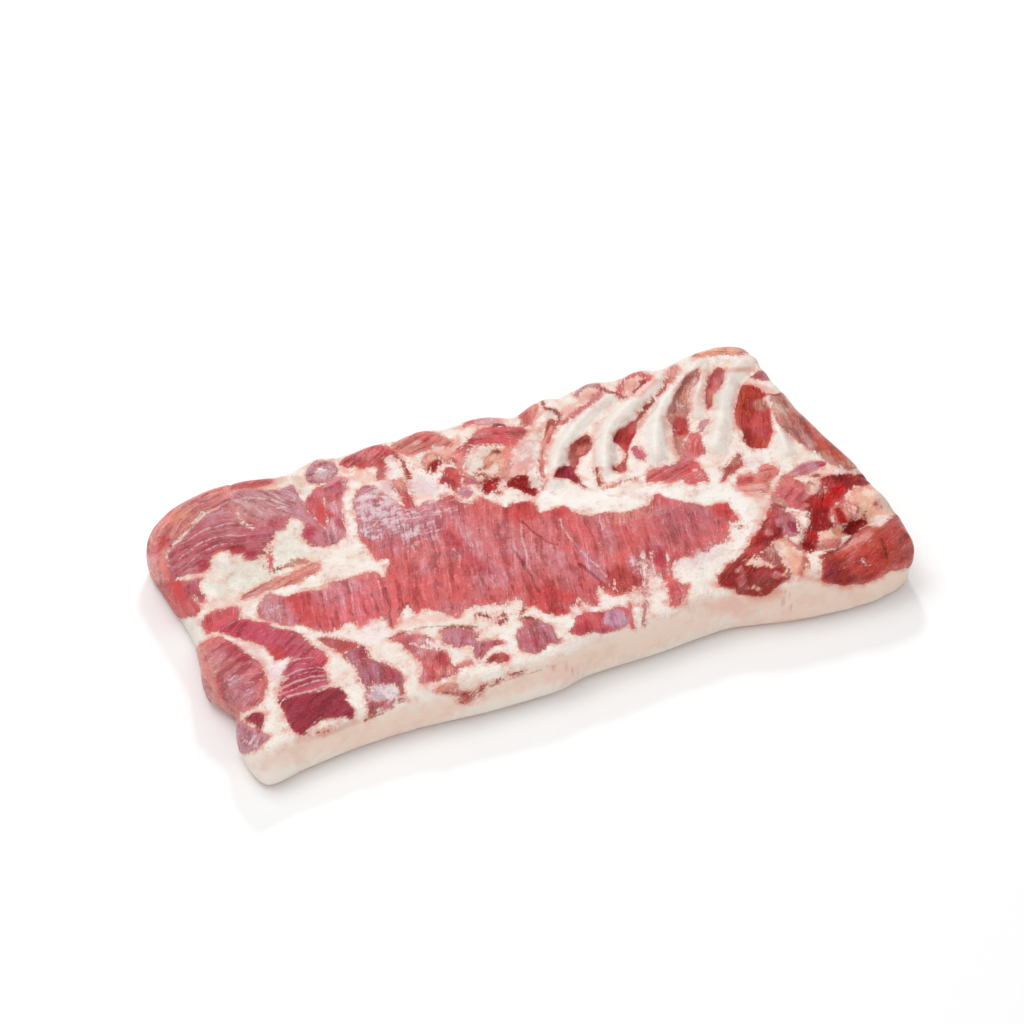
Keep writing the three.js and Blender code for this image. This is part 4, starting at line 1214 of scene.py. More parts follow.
class Flesh:
    """What each point of the slab is made of.

    lean, pale and the crease field are depths in mm, above 0 in the lean, on sinews and on
    creases, and puff is how far the lean stands out; the creases are darkened with painted
    shade. Shares of 1 tell where silverskin veils the flesh, where it is torn, where fibres
    of two muscles meet and where a rib bar lies. The tints are one colour for the lean and
    one for the fat, and grain runs along and across the fibres.
    """

    def __init__(self, points):
        count = len(points)
        self.plan = points[:, 0], points[:, 1]
        x, y = on_sheet(points)
        self.x = x + waves(x, y, cell=15, high=0.5, shift=(0, 9))
        self.x += waves(x, y, cell=6, high=0.8, shift=(0, 4))
        self.y = y + waves(x, y, cell=15, high=0.5, shift=(31, 0))
        self.y += waves(x, y, cell=6, high=0.8, shift=(17, 0))
        self.lean = np.full(count, -REACH)
        self.pale = np.full(count, -REACH)
        self.dark = np.full(count, -REACH)
        self.puff = np.full(count, PLAIN_PUFF)
        self.veil = np.zeros(count)
        self.torn = np.zeros(count)
        self.seam = np.zeros(count)
        self.bar = np.zeros(count)
        self.tints = {
            "lean": np.tile(tint("rose"), (count, 1)),
            "fat": np.tile(tint("ivory"), (count, 1)),
        }
        self.grain = np.zeros((count, 2))
        self.lay_grain(EVERYWHERE, PLAIN_GRAIN)

    def near(self, points, margin):
        (x0, y0), (x1, y1) = np.min(points, 0) - margin, np.max(points, 0) + margin
        return (self.x > x0) & (self.x < x1) & (self.y > y0) & (self.y < y1)

    def beside(self, line, margin):
        """The points near a line, and how far each one is from it."""
        curve = curve_through(line, False, DRAWN_STEPS)
        where = self.near(curve, margin)
        return where, distance_to_line(self.x[where], self.y[where], curve)

    def cover(self, where, depth, tissue):
        """Takes the depth in a piece of lean or fat into the whole."""
        lean = self.lean[where]
        self.lean[where] = np.maximum(lean, depth) if tissue == "lean" else np.minimum(lean, -depth)

    def stain(self, where, share, tissue, name):
        colours = self.tints[tissue]
        colours[where] = mix(colours[where], tint(name), share[:, None])

    def lay_grain(self, where, grain):
        """Measures along and across the fibres: straight at an angle, or round a centre."""
        x, y = self.x[where], self.y[where]
        if isinstance(grain, tuple):
            dx, dy = x - grain[0], y - grain[1]
            across = np.hypot(dx, dy)
            along = np.arctan2(dy, dx) * 90
        else:
            cos, sin = math.cos(math.radians(grain)), math.sin(math.radians(grain))
            along, across = x * cos + y * sin, y * cos - x * sin
        bend = waves(x, y, cell=38, high=2.5, shift=(0, 5))
        self.grain[where] = np.column_stack([along, across + bend])

    def lay_patch(self, patch):
        outline = curve_through(patch.outline, True, DRAWN_STEPS)
        where = self.near(outline, REACH)
        x, y = self.x[where], self.y[where]
        depth = depth_inside(x, y, outline)
        over = ramp(self.lean[where], 0, 2) * (patch.tissue == "lean")
        self.cover(where, depth, patch.tissue)
        rough = waves(x, y, cell=5, high=3.0) + waves(x, y, cell=2, high=1.5)
        self.stain(where, ramp(depth + over * rough, -2.5, 2 * over), patch.tissue, patch.tint)
        self.puff[where] = mix(self.puff[where], patch.puff, ramp(depth, -2, 1))
        if patch.tissue == "lean":
            held = depth > -GRAIN_RIM
            self.lay_grain(np.flatnonzero(where)[held], patch.grain)
            seam = ramp(np.abs(depth + GRAIN_RIM), 3.5, 2)
            self.seam[where] = np.where(held, seam, np.maximum(self.seam[where], seam))

    def lay_strand(self, strand):
        where, distance = self.beside(strand.line, REACH)
        depth = strand.half - distance
        self.cover(where, depth, strand.tissue)
        self.stain(where, ramp(depth, -1.8, -0.6), strand.tissue, strand.tint)

    def lay_line(self, field, half, line):
        """Draws a line that lies on lean and fat alike."""
        where, distance = self.beside(line, REACH)
        field[where] = np.maximum(field[where], half - distance)

    def lay_stain(self, tissue, name, at, radii, strength, turn=0):
        where = self.near([at], max(radii) + STAIN_MARGIN)
        x, y = self.x[where], self.y[where]
        inside = in_ellipse(x, y, at, radii, turn)
        inside += waves(x, y, cell=4.5, high=0.3) + waves(x, y, cell=2, high=0.15, shift=(7, 0))
        self.stain(where, strength * smooth(1.3 * inside + 0.5), tissue, name)

    def lay_wash(self, wash):
        where, distance = self.beside(wash.line, 2 * wash.half)
        self.stain(where, wash.strength * hump(distance, 2 * wash.half), wash.tissue, wash.tint)

    def lay_bars(self):
        """Pale smooth cartilage along the crests of the rib bars, but for the first."""
        crests = [hump(distance_to_line(*self.plan, bar.line), bar.half) for bar in RIB_BARS[1:]]
        self.bar = smooth(BAR_SPREAD * np.max(crests, 0))
        self.stain(EVERYWHERE, 0.9 * self.bar, "fat", "bar")

    def spread(self, field, at, radii, strength, turn=0):
        """Raises a field softly over an ellipse."""
        inside = in_ellipse(self.x, self.y, at, radii, turn)
        return np.maximum(field, strength * smooth(1.6 * inside + 0.3))

    def fade(self, names, share):
        """Takes away the depths that are named where the share is 1."""
        for name in names:
            setattr(self, name, mix(getattr(self, name), -REACH, share))

    def lay_cuts(self, hidden, share, top):
        """Layers of fat and lean down the walls that the sheet isn't drawn for."""
        x, y = self.x, self.y
        risen = share + (waves(x, y, cell=33, high=0.05) + waves(x, y, cell=9, high=0.02))
        depth = np.full(len(share), -REACH)
        for height, thick in CUT_LAYERS:
            swell = thick * (0.75 + waves(x, y, cell=47, high=0.5, shift=(height * 9, 0)))
            depth = np.maximum(depth, swell / 2 - np.abs(risen - height) * top)
        self.lean = mix(self.lean, depth, hidden)
        self.fade(("pale", "dark"), hidden)
        self.veil *= 1 - hidden
        for tissue, name in (("lean", "rose"), ("fat", "side fat")):
            self.stain(EVERYWHERE, hidden * CUT_COVER, tissue, name)

    def lay_under(self, under):
        """Plain fat behind the skin that the slab rests on."""
        self.fade(("lean", "pale", "dark"), under)
        self.stain(EVERYWHERE, under, "fat", "side fat")


def turned_away(points, outward, share, x):
    """1 on the walls that face away from the sheet's eye, with a ragged edge."""
    to_eye = np.array(SHEET_EYE[:2]) - points[:, :2]
    to_eye /= np.hypot(*to_eye.T)[:, None]
    facing = (outward * to_eye).sum(1)
    turned = CUT_FACING - facing - CUT_LAG * share + waves(x, points[:, 2], cell=7, high=0.12)
    return ramp(turned, 0, CUT_SOFT) * ramp(share, *CUT_FADE)


def paint_flesh(points, outward, share):
    """The flesh of each point, with `outward` its level direction away from the slab."""
    flesh = Flesh(points)
    for patch in FLANK_END + LOWER_LEFT + MIDDLE + RIB_EDGE + SHOULDER_END:
        flesh.lay_patch(patch)
    for strand in STRANDS:
        flesh.lay_strand(strand)
    for field, lines in ((flesh.pale, SINEWS), (flesh.dark, SHADED_CREASES)):
        for half, line in lines:
            flesh.lay_line(field, half, line)
    for tissue, stains in (("lean", LEAN_STAINS), ("fat", FAT_STAINS)):
        for stain in stains:
            flesh.lay_stain(tissue, *stain)
    flesh.lay_bars()
    for wash in WASHES:
        flesh.lay_wash(wash)
    for veil in VEILS:
        flesh.veil = flesh.spread(flesh.veil, *veil)
    for region in TORN:
        flesh.torn = flesh.spread(flesh.torn, *region)
    top = points[:, 2] / np.maximum(share, TINY)
    hidden = turned_away(points, outward, share, flesh.x)
    flesh.lay_cuts(hidden, share, np.clip(top, *CUT_HEIGHTS))
    flesh.lay_under(ramp(points[:, 2], *UNDER_FADE))
    return flesh


# --- the skin as a mesh -------------------------------------------------------------------

ATTRIBUTE_FIELDS = {"FLOAT": "value", "FLOAT_COLOR": "color", "FLOAT_VECTOR": "vector"}
LEAST_LEVEL = 0.01  # a normal that is steeper than this has no level direction


def deselect_all():
    if bpy.context.mode != "OBJECT":
        bpy.ops.object.mode_set(mode="OBJECT")
    bpy.ops.object.select_all(action="DESELECT")


def folded_tray():
    """A unit grid whose border is extruded down row by row, one unit each, and closed below."""
    deselect_all()
    bpy.ops.mesh.primitive_grid_add(x_subdivisions=ALONG, y_subdivisions=ACROSS, size=1)
    tray = bpy.context.object
    bpy.ops.object.mode_set(mode="EDIT")
    bpy.ops.mesh.select_mode(type="EDGE")
    bpy.ops.mesh.select_all(action="DESELECT")
    bpy.ops.mesh.select_non_manifold()
    for _ in range(WALL_ROWS):
        bpy.ops.mesh.extrude_edges_move(TRANSFORM_OT_translate={"value": (0, 0, -1)})
    bpy.ops.mesh.edge_face_add()
    bpy.ops.object.mode_set(mode="OBJECT")
    return tray


def finish_faces(tray):
    deselect_all()
    tray.select_set(True)
    bpy.context.view_layer.objects.active = tray
    bpy.ops.object.mode_set(mode="EDIT")
    bpy.ops.mesh.select_all(action="SELECT")
    bpy.ops.mesh.quads_convert_to_tris(quad_method="SHORTEST_DIAGONAL", ngon_method="BEAUTY")
    bpy.ops.mesh.normals_make_consistent(inside=False)
    bpy.ops.object.mode_set(mode="OBJECT")
    bpy.ops.object.shade_smooth()


def read_vectors(mesh, kind):
    """The mesh's points or normals, by Blender's name for them."""
    vectors = np.empty(len(mesh.vertices) * 3)
    mesh.vertices.foreach_get(kind, vectors)
    return vectors.reshape(-1, 3)


def write_points(mesh, points):
    mesh.vertices.foreach_set("co", points.ravel())
    mesh.update()


def write_attribute(mesh, name, kind, values):
    attribute = mesh.attributes.new(name, kind, "POINT")
    flat = np.ascontiguousarray(values, dtype=np.float32).ravel()
    attribute.data.foreach_set(ATTRIBUTE_FIELDS[kind], flat)


def linear(colour):
    """A colour as it looks, in linear light."""
    colour = np.asarray(colour, float)
    return np.where(colour <= 0.04045, colour / 12.92, ((colour + 0.055) / 1.055) ** 2.4)


def fit_to_frame(points):
    """Brings the footprint to the frame's box, as the frame's own solid was."""
    low, high = (np.array(corner)[:2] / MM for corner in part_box(NODE))
    own_low, own_high = points[:, :2].min(0), points[:, :2].max(0)
    points[:, :2] = low + (points[:, :2] - own_low) * (high - low) / (own_high - own_low)


def raised(flesh, height):
    """How far the flesh stands out from the frame's solid, with `height` above the floor."""
    swell = flesh.puff * (1 - np.exp(-np.maximum(flesh.lean, 0) / PUFF_EDGE))
    fat_lumps = waves(flesh.x, flesh.y, cell=11, high=0.5) * ramp(flesh.lean, 0, -4)
    lines = SINEW_HEIGHT * ramp(flesh.pale, -1, 0) - CREASE_DEPTH * ramp(flesh.dark, -1, 0)
    fibres = FIBRE_HEIGHT * noise(*(flesh.grain / FIBRE_CELL).T) * ramp(flesh.lean, 0, 3)
    return (swell + fat_lumps + lines + fibres - SET_IN) * ramp(height, 0, 6)


def write_flesh(mesh, flesh, share, height):
    """Hands the flesh of each point to the material."""
    for name in ("lean", "pale", "dark", "veil", "seam"):
        write_attribute(mesh, name, "FLOAT", getattr(flesh, name))
    write_attribute(mesh, "torn", "FLOAT", flesh.torn * (1 - flesh.bar))
    calm = np.maximum(0.85 * flesh.bar, ramp(share, 0.94, 0.82))
    write_attribute(mesh, "calm", "FLOAT", calm)
    skin = SKIN_HEIGHT - height + waves(flesh.x, flesh.y, cell=8, high=0.8)
    write_attribute(mesh, "skin", "FLOAT", skin)
    opaque = np.ones((len(height), 1))
    for tissue, colours in flesh.tints.items():
        colours = np.hstack([linear(colours), opaque])
        write_attribute(mesh, f"{tissue}_tint", "FLOAT_COLOR", colours)
    write_attribute(mesh, "grain", "FLOAT_VECTOR", np.column_stack([flesh.grain, height]))


def build_slab(settings):
    """Folds a tray over the plan, paints it and raises the flesh on it."""
    tray = folded_tray()
    tray.name = PIECE
    mesh = tray.data
    mesh.name = PIECE
    flat = read_vectors(mesh, "co")
    u, v = flat[:, 0] + 0.5, flat[:, 1] + 0.5
    row = np.round(-flat[:, 2]).astype(int)
    points, share = slab_points(u, v, row, settings.length / MM, settings.width / MM)
    write_points(mesh, points)
    level = read_vectors(mesh, "normal")[:, :2]
    outward = level / np.maximum(np.hypot(*level.T), LEAST_LEVEL)[:, None]
    flesh = paint_flesh(points, outward, share)
    fit_to_frame(points)
    write_points(mesh, points)
    lift = settings.relief * raised(flesh, points[:, 2])
    points = points + read_vectors(mesh, "normal") * lift[:, None]
    points[:, 2] = np.maximum(points[:, 2], 0)
    write_points(mesh, points * MM)
    write_flesh(mesh, flesh, share, points[:, 2])
    finish_faces(tray)
    return tray


# --- the material -------------------------------------------------------------------------

# What the finer marks multiply the flesh's colour by.
GAINS = {
    "flush": (1.07, 0.66, 0.66),
    "dark bundle": (0.66, 0.46, 0.46),
    "pale bundle": (1.18, 1.8, 1.9),
    # pale flecks of fat, and painted glints of wet highlight
    "sinew": (1.30, 2.8, 2.7),
    "pale speck and glint": (1.4, 3.6, 3.4),
    "dark speck": (0.60, 0.40, 0.44),
    "warm fat": (0.95, 0.90, 0.88),
    # painted shade that darkens the creases
    "crease shade": (0.50, 0.36, 0.36),
}

LEAN_ROUGHNESS = 0.23
FAT_ROUGHNESS = 0.44
FLESH_GLOSS = 0.26
GLOW_DEPTH = 0.0025  # how far red light goes into the flesh
GLOW_RADIUS = (1.0, 0.4, 0.25)  # and red, green and blue light, as shares of that
PORES = 0.35  # in each mm


def srgb(name):
    return tuple(float(part) for part in linear(TINTS[name]))


class Nodes:
    """Short words for wiring shader nodes."""

    def __init__(self, name):
        self.material = bpy.data.materials.new(name)
        self.material.use_nodes = True
        self.tree = self.material.node_tree
        self.shader = self.tree.nodes["Principled BSDF"]

    def add(self, kind, **settings):
        node = self.tree.nodes.new(kind)
        for key, value in settings.items():
            setattr(node, key, value)
        return node

    def feed(self, socket, value):
        if isinstance(value, bpy.types.NodeSocket):
            self.tree.links.new(value, socket)
        elif isinstance(value, (tuple, list)) and len(value) == 3 and socket.type == "RGBA":
            socket.default_value = (*value, 1)
        else:
            socket.default_value = value

    def shade(self, **values):
        """Feeds the shader's sockets, named with _ for each space."""
        for name, value in values.items():
            self.feed(self.shader.inputs[name.replace("_", " ")], value)

    def position(self):
        return self.add("ShaderNodeTexCoord").outputs["Object"]

    def attribute(self, name, output="Fac"):
        return self.add("ShaderNodeAttribute", attribute_name=name).outputs[output]

    def math(self, operation, a, b=0.0, clamp=False):
        node = self.add("ShaderNodeMath", operation=operation, use_clamp=clamp)
        self.feed(node.inputs[0], a)
        self.feed(node.inputs[1], b)
        return node.outputs[0]

    def plus(self, a, b):
        return self.math("ADD", a, b)

    def times(self, a, b):
        return self.math("MULTIPLY", a, b)

    def rest(self, share, clamp=False):
        """What the share leaves of 1."""
        return self.math("SUBTRACT", 1.0, share, clamp)

    def stretched(self, vector, scale):
        node = self.add("ShaderNodeMapping", vector_type="POINT")
        self.feed(node.inputs["Vector"], vector)
        node.inputs["Scale"].default_value = scale
        return node.outputs[0]

    def noise(self, vector, scale, detail=2.0, roughness=0.5, distortion=0.0):
        node = self.add("ShaderNodeTexNoise")
        self.feed(node.inputs["Vector"], vector)
        node.inputs["Scale"].default_value = scale
        node.inputs["Detail"].default_value = detail
        node.inputs["Roughness"].default_value = roughness
        node.inputs["Distortion"].default_value = distortion
        return node.outputs["Fac"]

    def step(self, value, low, high, end=1.0, start=0.0):
        """A smooth step from start to end, as the value goes from low to high."""
        node = self.add("ShaderNodeMapRange", interpolation_type="SMOOTHSTEP")
        self.feed(node.inputs["Value"], value)
        limits = {"From Min": low, "From Max": high, "To Min": start, "To Max": end}
        for name, number in limits.items():
            node.inputs[name].default_value = number
        return node.outputs["Result"]

    def blend(self, share, a, b, mode="MIX"):
        """A mix of two colours, which are a mix node's sockets 6 and 7."""
        node = self.add("ShaderNodeMix", data_type="RGBA", blend_type=mode)
        self.feed(node.inputs[0], share)
        self.feed(node.inputs[6], a)
        self.feed(node.inputs[7], b)
        return node.outputs[2]


class FleshMaterial(Nodes):
    """Lean, fat and skin, from what the mesh says of each point and textures of many sizes."""

    def __init__(self, softness):
        super().__init__(PIECE)
        self.place = self.stretched(self.position(), (1 / MM,) * 3)
        self.torn = self.attribute("torn")
        self.cut = self.rest(self.attribute("calm"))
        self.lay_textures()
        self.find_lean()
        flesh = self.blend(self.lean, self.fat_colour(), self.lean_colour())
        flesh = self.with_lines(flesh)
        self.shade(Base_Color=self.with_skin(flesh))
        self.wet(softness)
        self.emboss()

    def lay_textures(self):
        """Textures along the fibres and all over, with scales in cells for each mm."""
        skein = self.stretched(self.place, (0.042, 0.154, 0.07))
        self.textures = {
            "bundle": self.fibrous((0.022, 0.15, 0.1), 2.0, 0.5, 0.2),
            "streak": self.fibrous((0.05, 0.50, 0.3), 3.0, 0.6, 0.1),
            "fine": self.fibrous((0.16, 2.0, 1.2), 2.0, 0.6),
            "cloud": self.noise(self.place, 0.035, 3.0, 0.55),
            "vein": self.noise(self.place, 0.09, 3.0, 0.55, 1.0),
            "mottle": self.noise(self.place, 0.11, 4.0, 0.58),
            "ragged": self.noise(self.place, 0.45, 3.0, 0.6),
            "grit": self.noise(self.place, 1.2, 2.0, 0.6),
            "skein": self.noise(skein, 1.0, 3.0, 0.6, 1.2),
        }

    def fibrous(self, scale, *character):
        """A texture along the fibres, at its own middle where two muscles' fibres meet."""
        grain = self.stretched(self.attribute("grain", "Vector"), scale)
        node = self.add("ShaderNodeMix", data_type="FLOAT")
        self.feed(node.inputs[0], self.attribute("seam"))
        self.feed(node.inputs[2], self.noise(grain, 1.0, *character))
        node.inputs[3].default_value = 0.5
        return node.outputs[0]

    def weighted(self, **weights):
        """Sum of textures, each about its middle and times its weight."""
        total = 0.0
        for name, weight in weights.items():
            node = self.add("ShaderNodeMath", operation="MULTIPLY_ADD")
            self.feed(node.inputs[0], self.textures[name])
            node.inputs[1].default_value = weight
            node.inputs[2].default_value = -0.5 * weight
            total = self.plus(total, node.outputs[0])
        return total

    def gain(self, share, colour, name):
        return self.blend(share, colour, GAINS[name], "MULTIPLY")

    def stained(self, share, colour, name):
        return self.blend(share, colour, srgb(name))

    def find_lean(self):
        """Where the lean is: its edge frays along the fibres and breaks into small islands."""
        fray = self.weighted(streak=8.0, mottle=6.0, ragged=6.0, grit=1.0)
        tatter = self.weighted(streak=9.0, mottle=5.0, ragged=9.0, grit=3.0)
        fray = self.plus(fray, self.times(self.torn, tatter))
        self.edge = self.plus(self.attribute("lean"), fray)
        self.lean = self.step(self.edge, -0.45, 0.55)

    def lean_colour(self):
        """Darker and paler bundles of fibres, red and mauve patches, fine sinews and film."""
        colour = self.attribute("lean_tint", "Color")
        parts = self.add("ShaderNodeSeparateColor")
        self.feed(parts.inputs["Color"], colour)
        bloodless = self.step(parts.outputs["Green"], 0.02, 0.09)
        cloudy = self.step(self.textures["cloud"], 0.49, 0.62, 0.36)
        cloudy = self.times(self.times(cloudy, self.rest(self.torn, clamp=True)), bloodless)
        colour = self.stained(cloudy, colour, "mauve")
        flush = self.step(self.weighted(cloud=-1.0, mottle=1.0), 0.0, 0.16, 0.55)
        colour = self.gain(flush, colour, "flush")
        tone = self.weighted(bundle=1.0, mottle=0.7, streak=0.6, ragged=0.3, fine=0.25)
        colour = self.gain(self.step(tone, -0.01, -0.22, 0.92), colour, "dark bundle")
        colour = self.gain(self.step(tone, 0.0, 0.24, 0.75), colour, "pale bundle")
        sinew = self.weighted(streak=1.0, fine=0.5, ragged=0.5)
        colour = self.gain(self.step(sinew, 0.09, 0.24, 0.34), colour, "sinew")
        # Pale specks: partly flecks of fat and partly painted glints of wet highlight.
        speck = self.weighted(ragged=0.8, grit=0.5)
        colour = self.gain(self.step(speck, 0.15, 0.23, 0.50), colour, "pale speck and glint")
        colour = self.gain(self.step(speck, -0.15, -0.22, 0.60), colour, "dark speck")
        colour = self.blend(1.0, colour, srgb("blush"), "DARKEN")
        colour = self.under_film(colour)
        seep = self.step(self.textures["ragged"], 0.40, 0.60)
        seep = self.times(self.step(self.edge, 3.2, 0.3), seep)
        colour = self.stained(self.times(seep, 0.5), colour, "salmon")
        flecks = self.step(self.weighted(ragged=0.8, mottle=0.4, grit=0.3), 0.13, 0.20, 0.65)
        return self.stained(self.times(flecks, self.torn), colour, "blush")

    def under_film(self, colour):
        """Silverskin over the lean, torn and drawn into threads."""
        veil = self.attribute("veil")
        colour = self.stained(self.times(veil, 0.5), colour, "mauve")
        rents = self.weighted(mottle=2.6, streak=2.2, skein=3.0, ragged=1.6)
        film = self.step(self.plus(veil, rents), 0.25, 1.2, 0.80)
        film = self.times(film, self.step(veil, 0.02, 0.5))
        return self.stained(film, colour, "lilac film")

    def fat_colour(self):
        """Creamy fat, blotched where it is cut and rosy where it thins out over the lean."""
        fat = self.attribute("fat_tint", "Color")
        curd = self.weighted(mottle=0.6, ragged=0.4, cloud=0.4, grit=0.12)
        pink = self.step(curd, 0.0, 0.12, end=0.46, start=0.10)
        fat = self.stained(self.times(pink, self.cut), fat, "blush")
        white = self.step(curd, -0.01, -0.12, 0.60)
        fat = self.stained(self.times(white, self.cut), fat, "white")
        warm = self.step(self.weighted(cloud=0.7, mottle=0.5), -0.04, 0.13, 0.9)
        fat = self.gain(warm, fat, "warm fat")
        tan = self.step(self.weighted(mottle=0.7, grit=0.4), 0.085, 0.17, 0.55)
        fat = self.stained(self.times(tan, self.cut), fat, "tan rose")
        vein = self.step(self.math("ABSOLUTE", self.weighted(vein=1.0)), 0.010, 0.0)
        vein = self.times(vein, self.step(self.textures["mottle"], 0.50, 0.62, 0.5))
        fat = self.stained(self.times(vein, self.cut), fat, "coral")
        clots = self.step(self.weighted(ragged=0.8, mottle=0.5, grit=0.3), -0.07, -0.16, 0.65)
        fat = self.stained(self.times(clots, self.torn), fat, "coral")
        rosy = self.step(self.plus(self.edge, self.weighted(mottle=6.0)), -4.2, -0.1)
        return self.stained(self.times(rosy, 0.56), fat, "salmon")

    def with_lines(self, flesh):
        """The flesh with its pale sinews and dark creases."""
        wavering = self.weighted(ragged=2.0, mottle=2.0)
        pale = self.step(self.plus(self.attribute("pale"), wavering), -0.6, 0.6)
        flesh = self.stained(self.times(pale, 0.62), flesh, "thread")
        # Painted shade: the creases are darkened as if shade fell into them.
        self.dark = self.step(self.plus(self.attribute("dark"), wavering), -1.0, 0.5)
        return self.gain(self.times(self.dark, 0.8), flesh, "crease shade")

    def with_skin(self, flesh):
        """The flesh with the skin under it, which has fine pores."""
        pores = self.add("ShaderNodeTexVoronoi")
        self.feed(pores.inputs["Vector"], self.place)
        pores.inputs["Scale"].default_value = PORES
        self.pore = self.step(pores.outputs["Distance"], 0.10, 0.24)
        colour = self.stained(self.step(self.textures["cloud"], 0.4, 0.7), srgb("skin"), "blush")
        colour = self.blend(self.pore, srgb("tan rose"), colour)
        self.skin = self.step(self.attribute("skin"), -0.6, 0.9)
        return self.blend(self.times(self.skin, 0.8), flesh, colour)

    def wet(self, softness):
        """Wet gloss on the lean and duller fat, with some light let into both."""
        roughness = self.step(self.lean, 0, 1, end=LEAN_ROUGHNESS, start=FAT_ROUGHNESS)
        roughness = self.plus(roughness, self.weighted(grit=0.5, mottle=0.3))
        self.shade(Roughness=roughness, Specular_IOR_Level=FLESH_GLOSS)
        self.shade(Subsurface_Weight=softness, Subsurface_Radius=GLOW_RADIUS)
        self.shade(Subsurface_Scale=GLOW_DEPTH)

    def emboss(self):
        """Fine relief: fibres on the lean, curds on the fat, creases and the skin's pores."""
        fibre = self.weighted(bundle=4.0, streak=2.4, fine=0.5, ragged=1.2, grit=0.4)
        lump = self.weighted(mottle=3.0, ragged=0.8, grit=0.12)
        lump = self.times(lump, self.plus(self.times(self.cut, 0.7), 0.3))
        height = self.plus(self.times(fibre, self.lean), self.times(lump, self.rest(self.lean)))
        pores = self.times(self.pore, self.skin)
        for part, high in ((self.lean, 0.3), (self.dark, -0.8), (pores, 0.3)):
            height = self.plus(height, self.times(part, high))
        bump = self.add("ShaderNodeBump")
        bump.inputs["Strength"].default_value = 1.0
        bump.inputs["Distance"].default_value = MM
        self.feed(bump.inputs["Height"], height)
        self.shade(Normal=bump.outputs["Normal"])


# --- floor, light and camera --------------------------------------------------------------

FLOOR_SIZE = 12
FLOOR_GRAIN = 40.0  # cells in each metre

# Lamps: name, place, size and share of the key light's power.
LAMPS = [
    ("overhead", (-0.5, 0.4, 2.0), 1.2, 1.0),
    ("glint", (0.59, 1.34, 1.36), 0.25, 0.6),
    ("front", (-0.8, -2.0, 0.9), 1.5, 0.52),
]

CAMERA_TARGET = (0.0076, 0.0385, 0.0220)


def lay_floor(settings):
    deselect_all()
    bpy.ops.mesh.primitive_plane_add(size=FLOOR_SIZE)
    floor = bpy.context.object
    floor.name = "floor"
    n = Nodes("floor")
    grain = n.step(n.noise(n.position(), FLOOR_GRAIN), 0.3, 0.7, 0.03)
    colour = n.blend(grain, tuple(settings.floor_colour), (1, 1, 1))
    n.shade(Base_Color=colour, Roughness=0.8, Specular_IOR_Level=0.1)
    floor.data.materials.append(n.material)


def hang_lights(scene, settings):
    world = bpy.data.worlds.new("studio")
    world.use_nodes = True
    background = world.node_tree.nodes["Background"]
    background.inputs["Color"].default_value = (1, 1, 1, 1)
    background.inputs["Strength"].default_value = settings.sky
    scene.world = world
    scene.view_settings.view_transform = "Standard"
    for name, place, size, share in LAMPS:
        deselect_all()
        bpy.ops.object.light_add(type="AREA", location=place)
        lamp = bpy.context.object
        lamp.name = name
        lamp.data.size = size
        lamp.data.energy = settings.key * share
        lamp.rotation_euler = (-Vector(place)).to_track_quat("-Z", "Y").to_euler()


def set_camera(scene, settings):
    azimuth, elevation = settings.azimuth, settings.elevation
    back = Vector((
        math.sin(azimuth) * math.cos(elevation),
        -math.cos(azimuth) * math.cos(elevation),
        math.sin(elevation),
    ))
    deselect_all()
    bpy.ops.object.camera_add(location=Vector(CAMERA_TARGET) + back * settings.distance)
    camera = bpy.context.object
    camera.rotation_euler = (-back).to_track_quat("-Z", "Y").to_euler()
    camera.data.lens = settings.lens
    camera.data.sensor_width = 36
    camera.data.clip_end = 50
    scene.camera = camera


# --- settings, operators and panel --------------------------------------------------------

class BellySettings(bpy.types.PropertyGroup):
    """Sizes and finish of the slab."""

    length: bpy.props.FloatProperty(
        name="Length", description="Slab's length from flank end to shoulder end",
        default=CAD_BOX[1][0] - CAD_BOX[0][0], unit="LENGTH")
    width: bpy.props.FloatProperty(
        name="Width", description="Slab's width from fat edge to rib edge",
        default=CAD_BOX[1][1] - CAD_BOX[0][1], unit="LENGTH")
    relief: bpy.props.FloatProperty(
        name="Relief", description="How strongly muscles, seams and creases stand out",
        default=1.0, min=0.0, max=2.0, subtype="FACTOR")
    softness: bpy.props.FloatProperty(
        name="Softness", description="Share of the light that goes into the flesh",
        default=0.2, min=0.0, max=1.0, subtype="FACTOR")


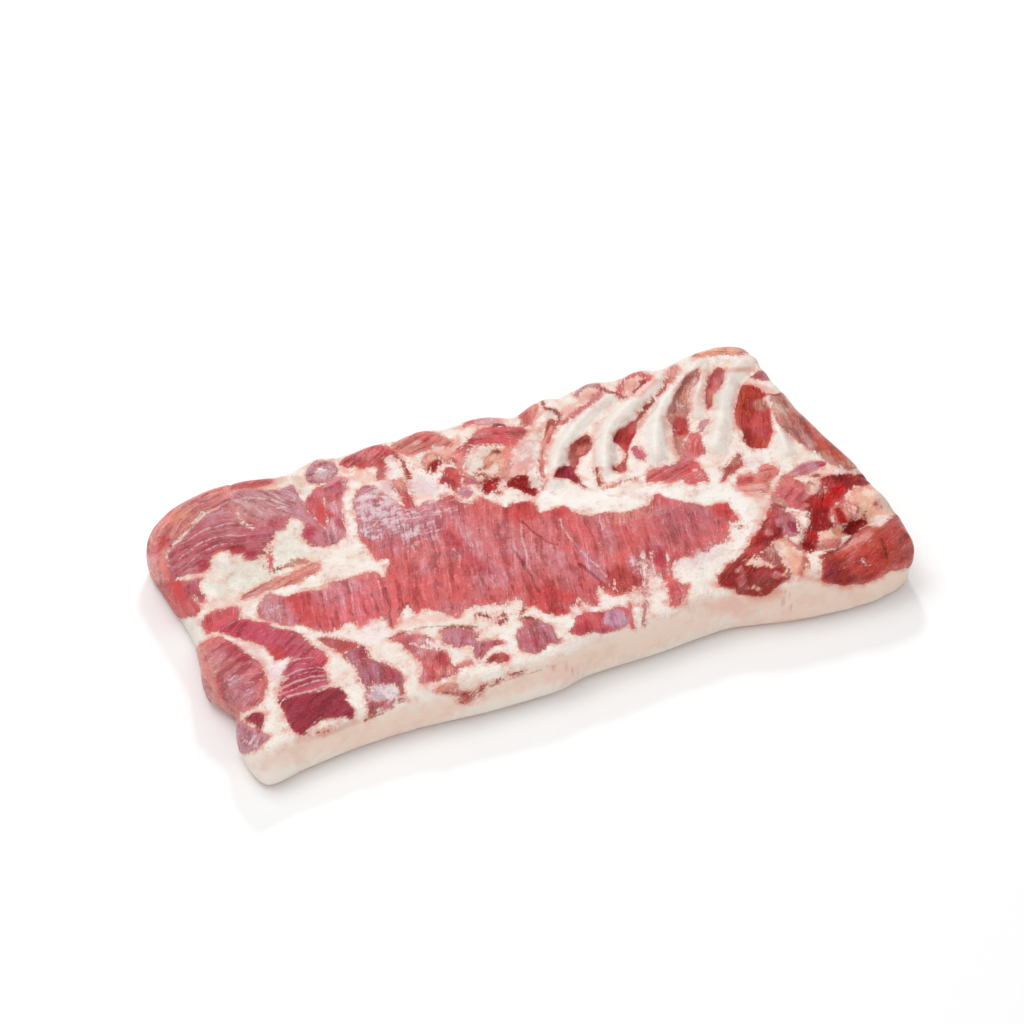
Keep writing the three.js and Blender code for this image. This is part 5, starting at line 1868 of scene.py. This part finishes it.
class StageSettings(bpy.types.PropertyGroup):
    """Floor, light and camera."""

    floor_colour: bpy.props.FloatVectorProperty(
        name="Floor", description="Colour of the floor", subtype="COLOR",
        default=(0.92, 0.92, 0.92), min=0.0, max=1.0)
    sky: bpy.props.FloatProperty(
        name="Sky", description="Strength of the light from all round", default=0.62, min=0.0)
    key: bpy.props.FloatProperty(
        name="Key", description="Power of the overhead soft light",
        default=17.0, min=0.0, unit="POWER")
    azimuth: bpy.props.FloatProperty(
        name="Azimuth", description="Camera's way round the slab",
        default=math.radians(-23.7), subtype="ANGLE")
    elevation: bpy.props.FloatProperty(
        name="Elevation", description="Camera's height above the floor",
        default=math.radians(43.0), subtype="ANGLE")
    distance: bpy.props.FloatProperty(
        name="Distance", description="Camera's distance from its target",
        default=2.05, unit="LENGTH")
    lens: bpy.props.FloatProperty(
        name="Lens", description="Camera's focal length in millimetres", default=90.0, min=1.0)


class BELLY_OT_slab(bpy.types.Operator):
    """Model the slab of flesh over its frame and finish it"""

    bl_idname = "pork_belly.slab"
    bl_label = "Slab"

    def execute(self, context):
        settings = context.scene.belly
        slab = build_slab(settings)
        slab.data.materials.append(FleshMaterial(settings.softness).material)
        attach(slab, "root")
        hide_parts(NODE)
        return {"FINISHED"}


class BELLY_OT_stage(bpy.types.Operator):
    """Lay the floor, hang the soft lights and set up the camera"""

    bl_idname = "pork_belly.stage"
    bl_label = "Stage"

    def execute(self, context):
        settings = context.scene.belly_stage
        lay_floor(settings)
        hang_lights(context.scene, settings)
        set_camera(context.scene, settings)
        return {"FINISHED"}


class BELLY_PT_panel(bpy.types.Panel):
    """Sizes, finish and stage of the slab"""

    bl_idname = "BELLY_PT_panel"
    bl_label = "Pork Belly"
    bl_space_type = "VIEW_3D"
    bl_region_type = "UI"
    bl_category = "Pork Belly"

    def draw(self, context):
        layout = self.layout
        for settings in (context.scene.belly, context.scene.belly_stage):
            for name in settings.bl_rna.properties.keys():
                if name not in ("rna_type", "name"):
                    layout.prop(settings, name)
        for operator in OPERATORS:
            layout.operator(operator.bl_idname)


OPERATORS = (BELLY_OT_slab, BELLY_OT_stage)
CLASSES = (BellySettings, StageSettings, *OPERATORS, BELLY_PT_panel)


def register():
    for cls in CLASSES:
        bpy.utils.register_class(cls)
    bpy.types.Scene.belly = bpy.props.PointerProperty(type=BellySettings)
    bpy.types.Scene.belly_stage = bpy.props.PointerProperty(type=StageSettings)


def unregister():
    del bpy.types.Scene.belly_stage
    del bpy.types.Scene.belly
    for cls in reversed(CLASSES):
        bpy.utils.unregister_class(cls)


def main():
    register()
    bpy.ops.pork_belly.slab()
    bpy.ops.pork_belly.stage()


if __name__ == "__main__":
    main()
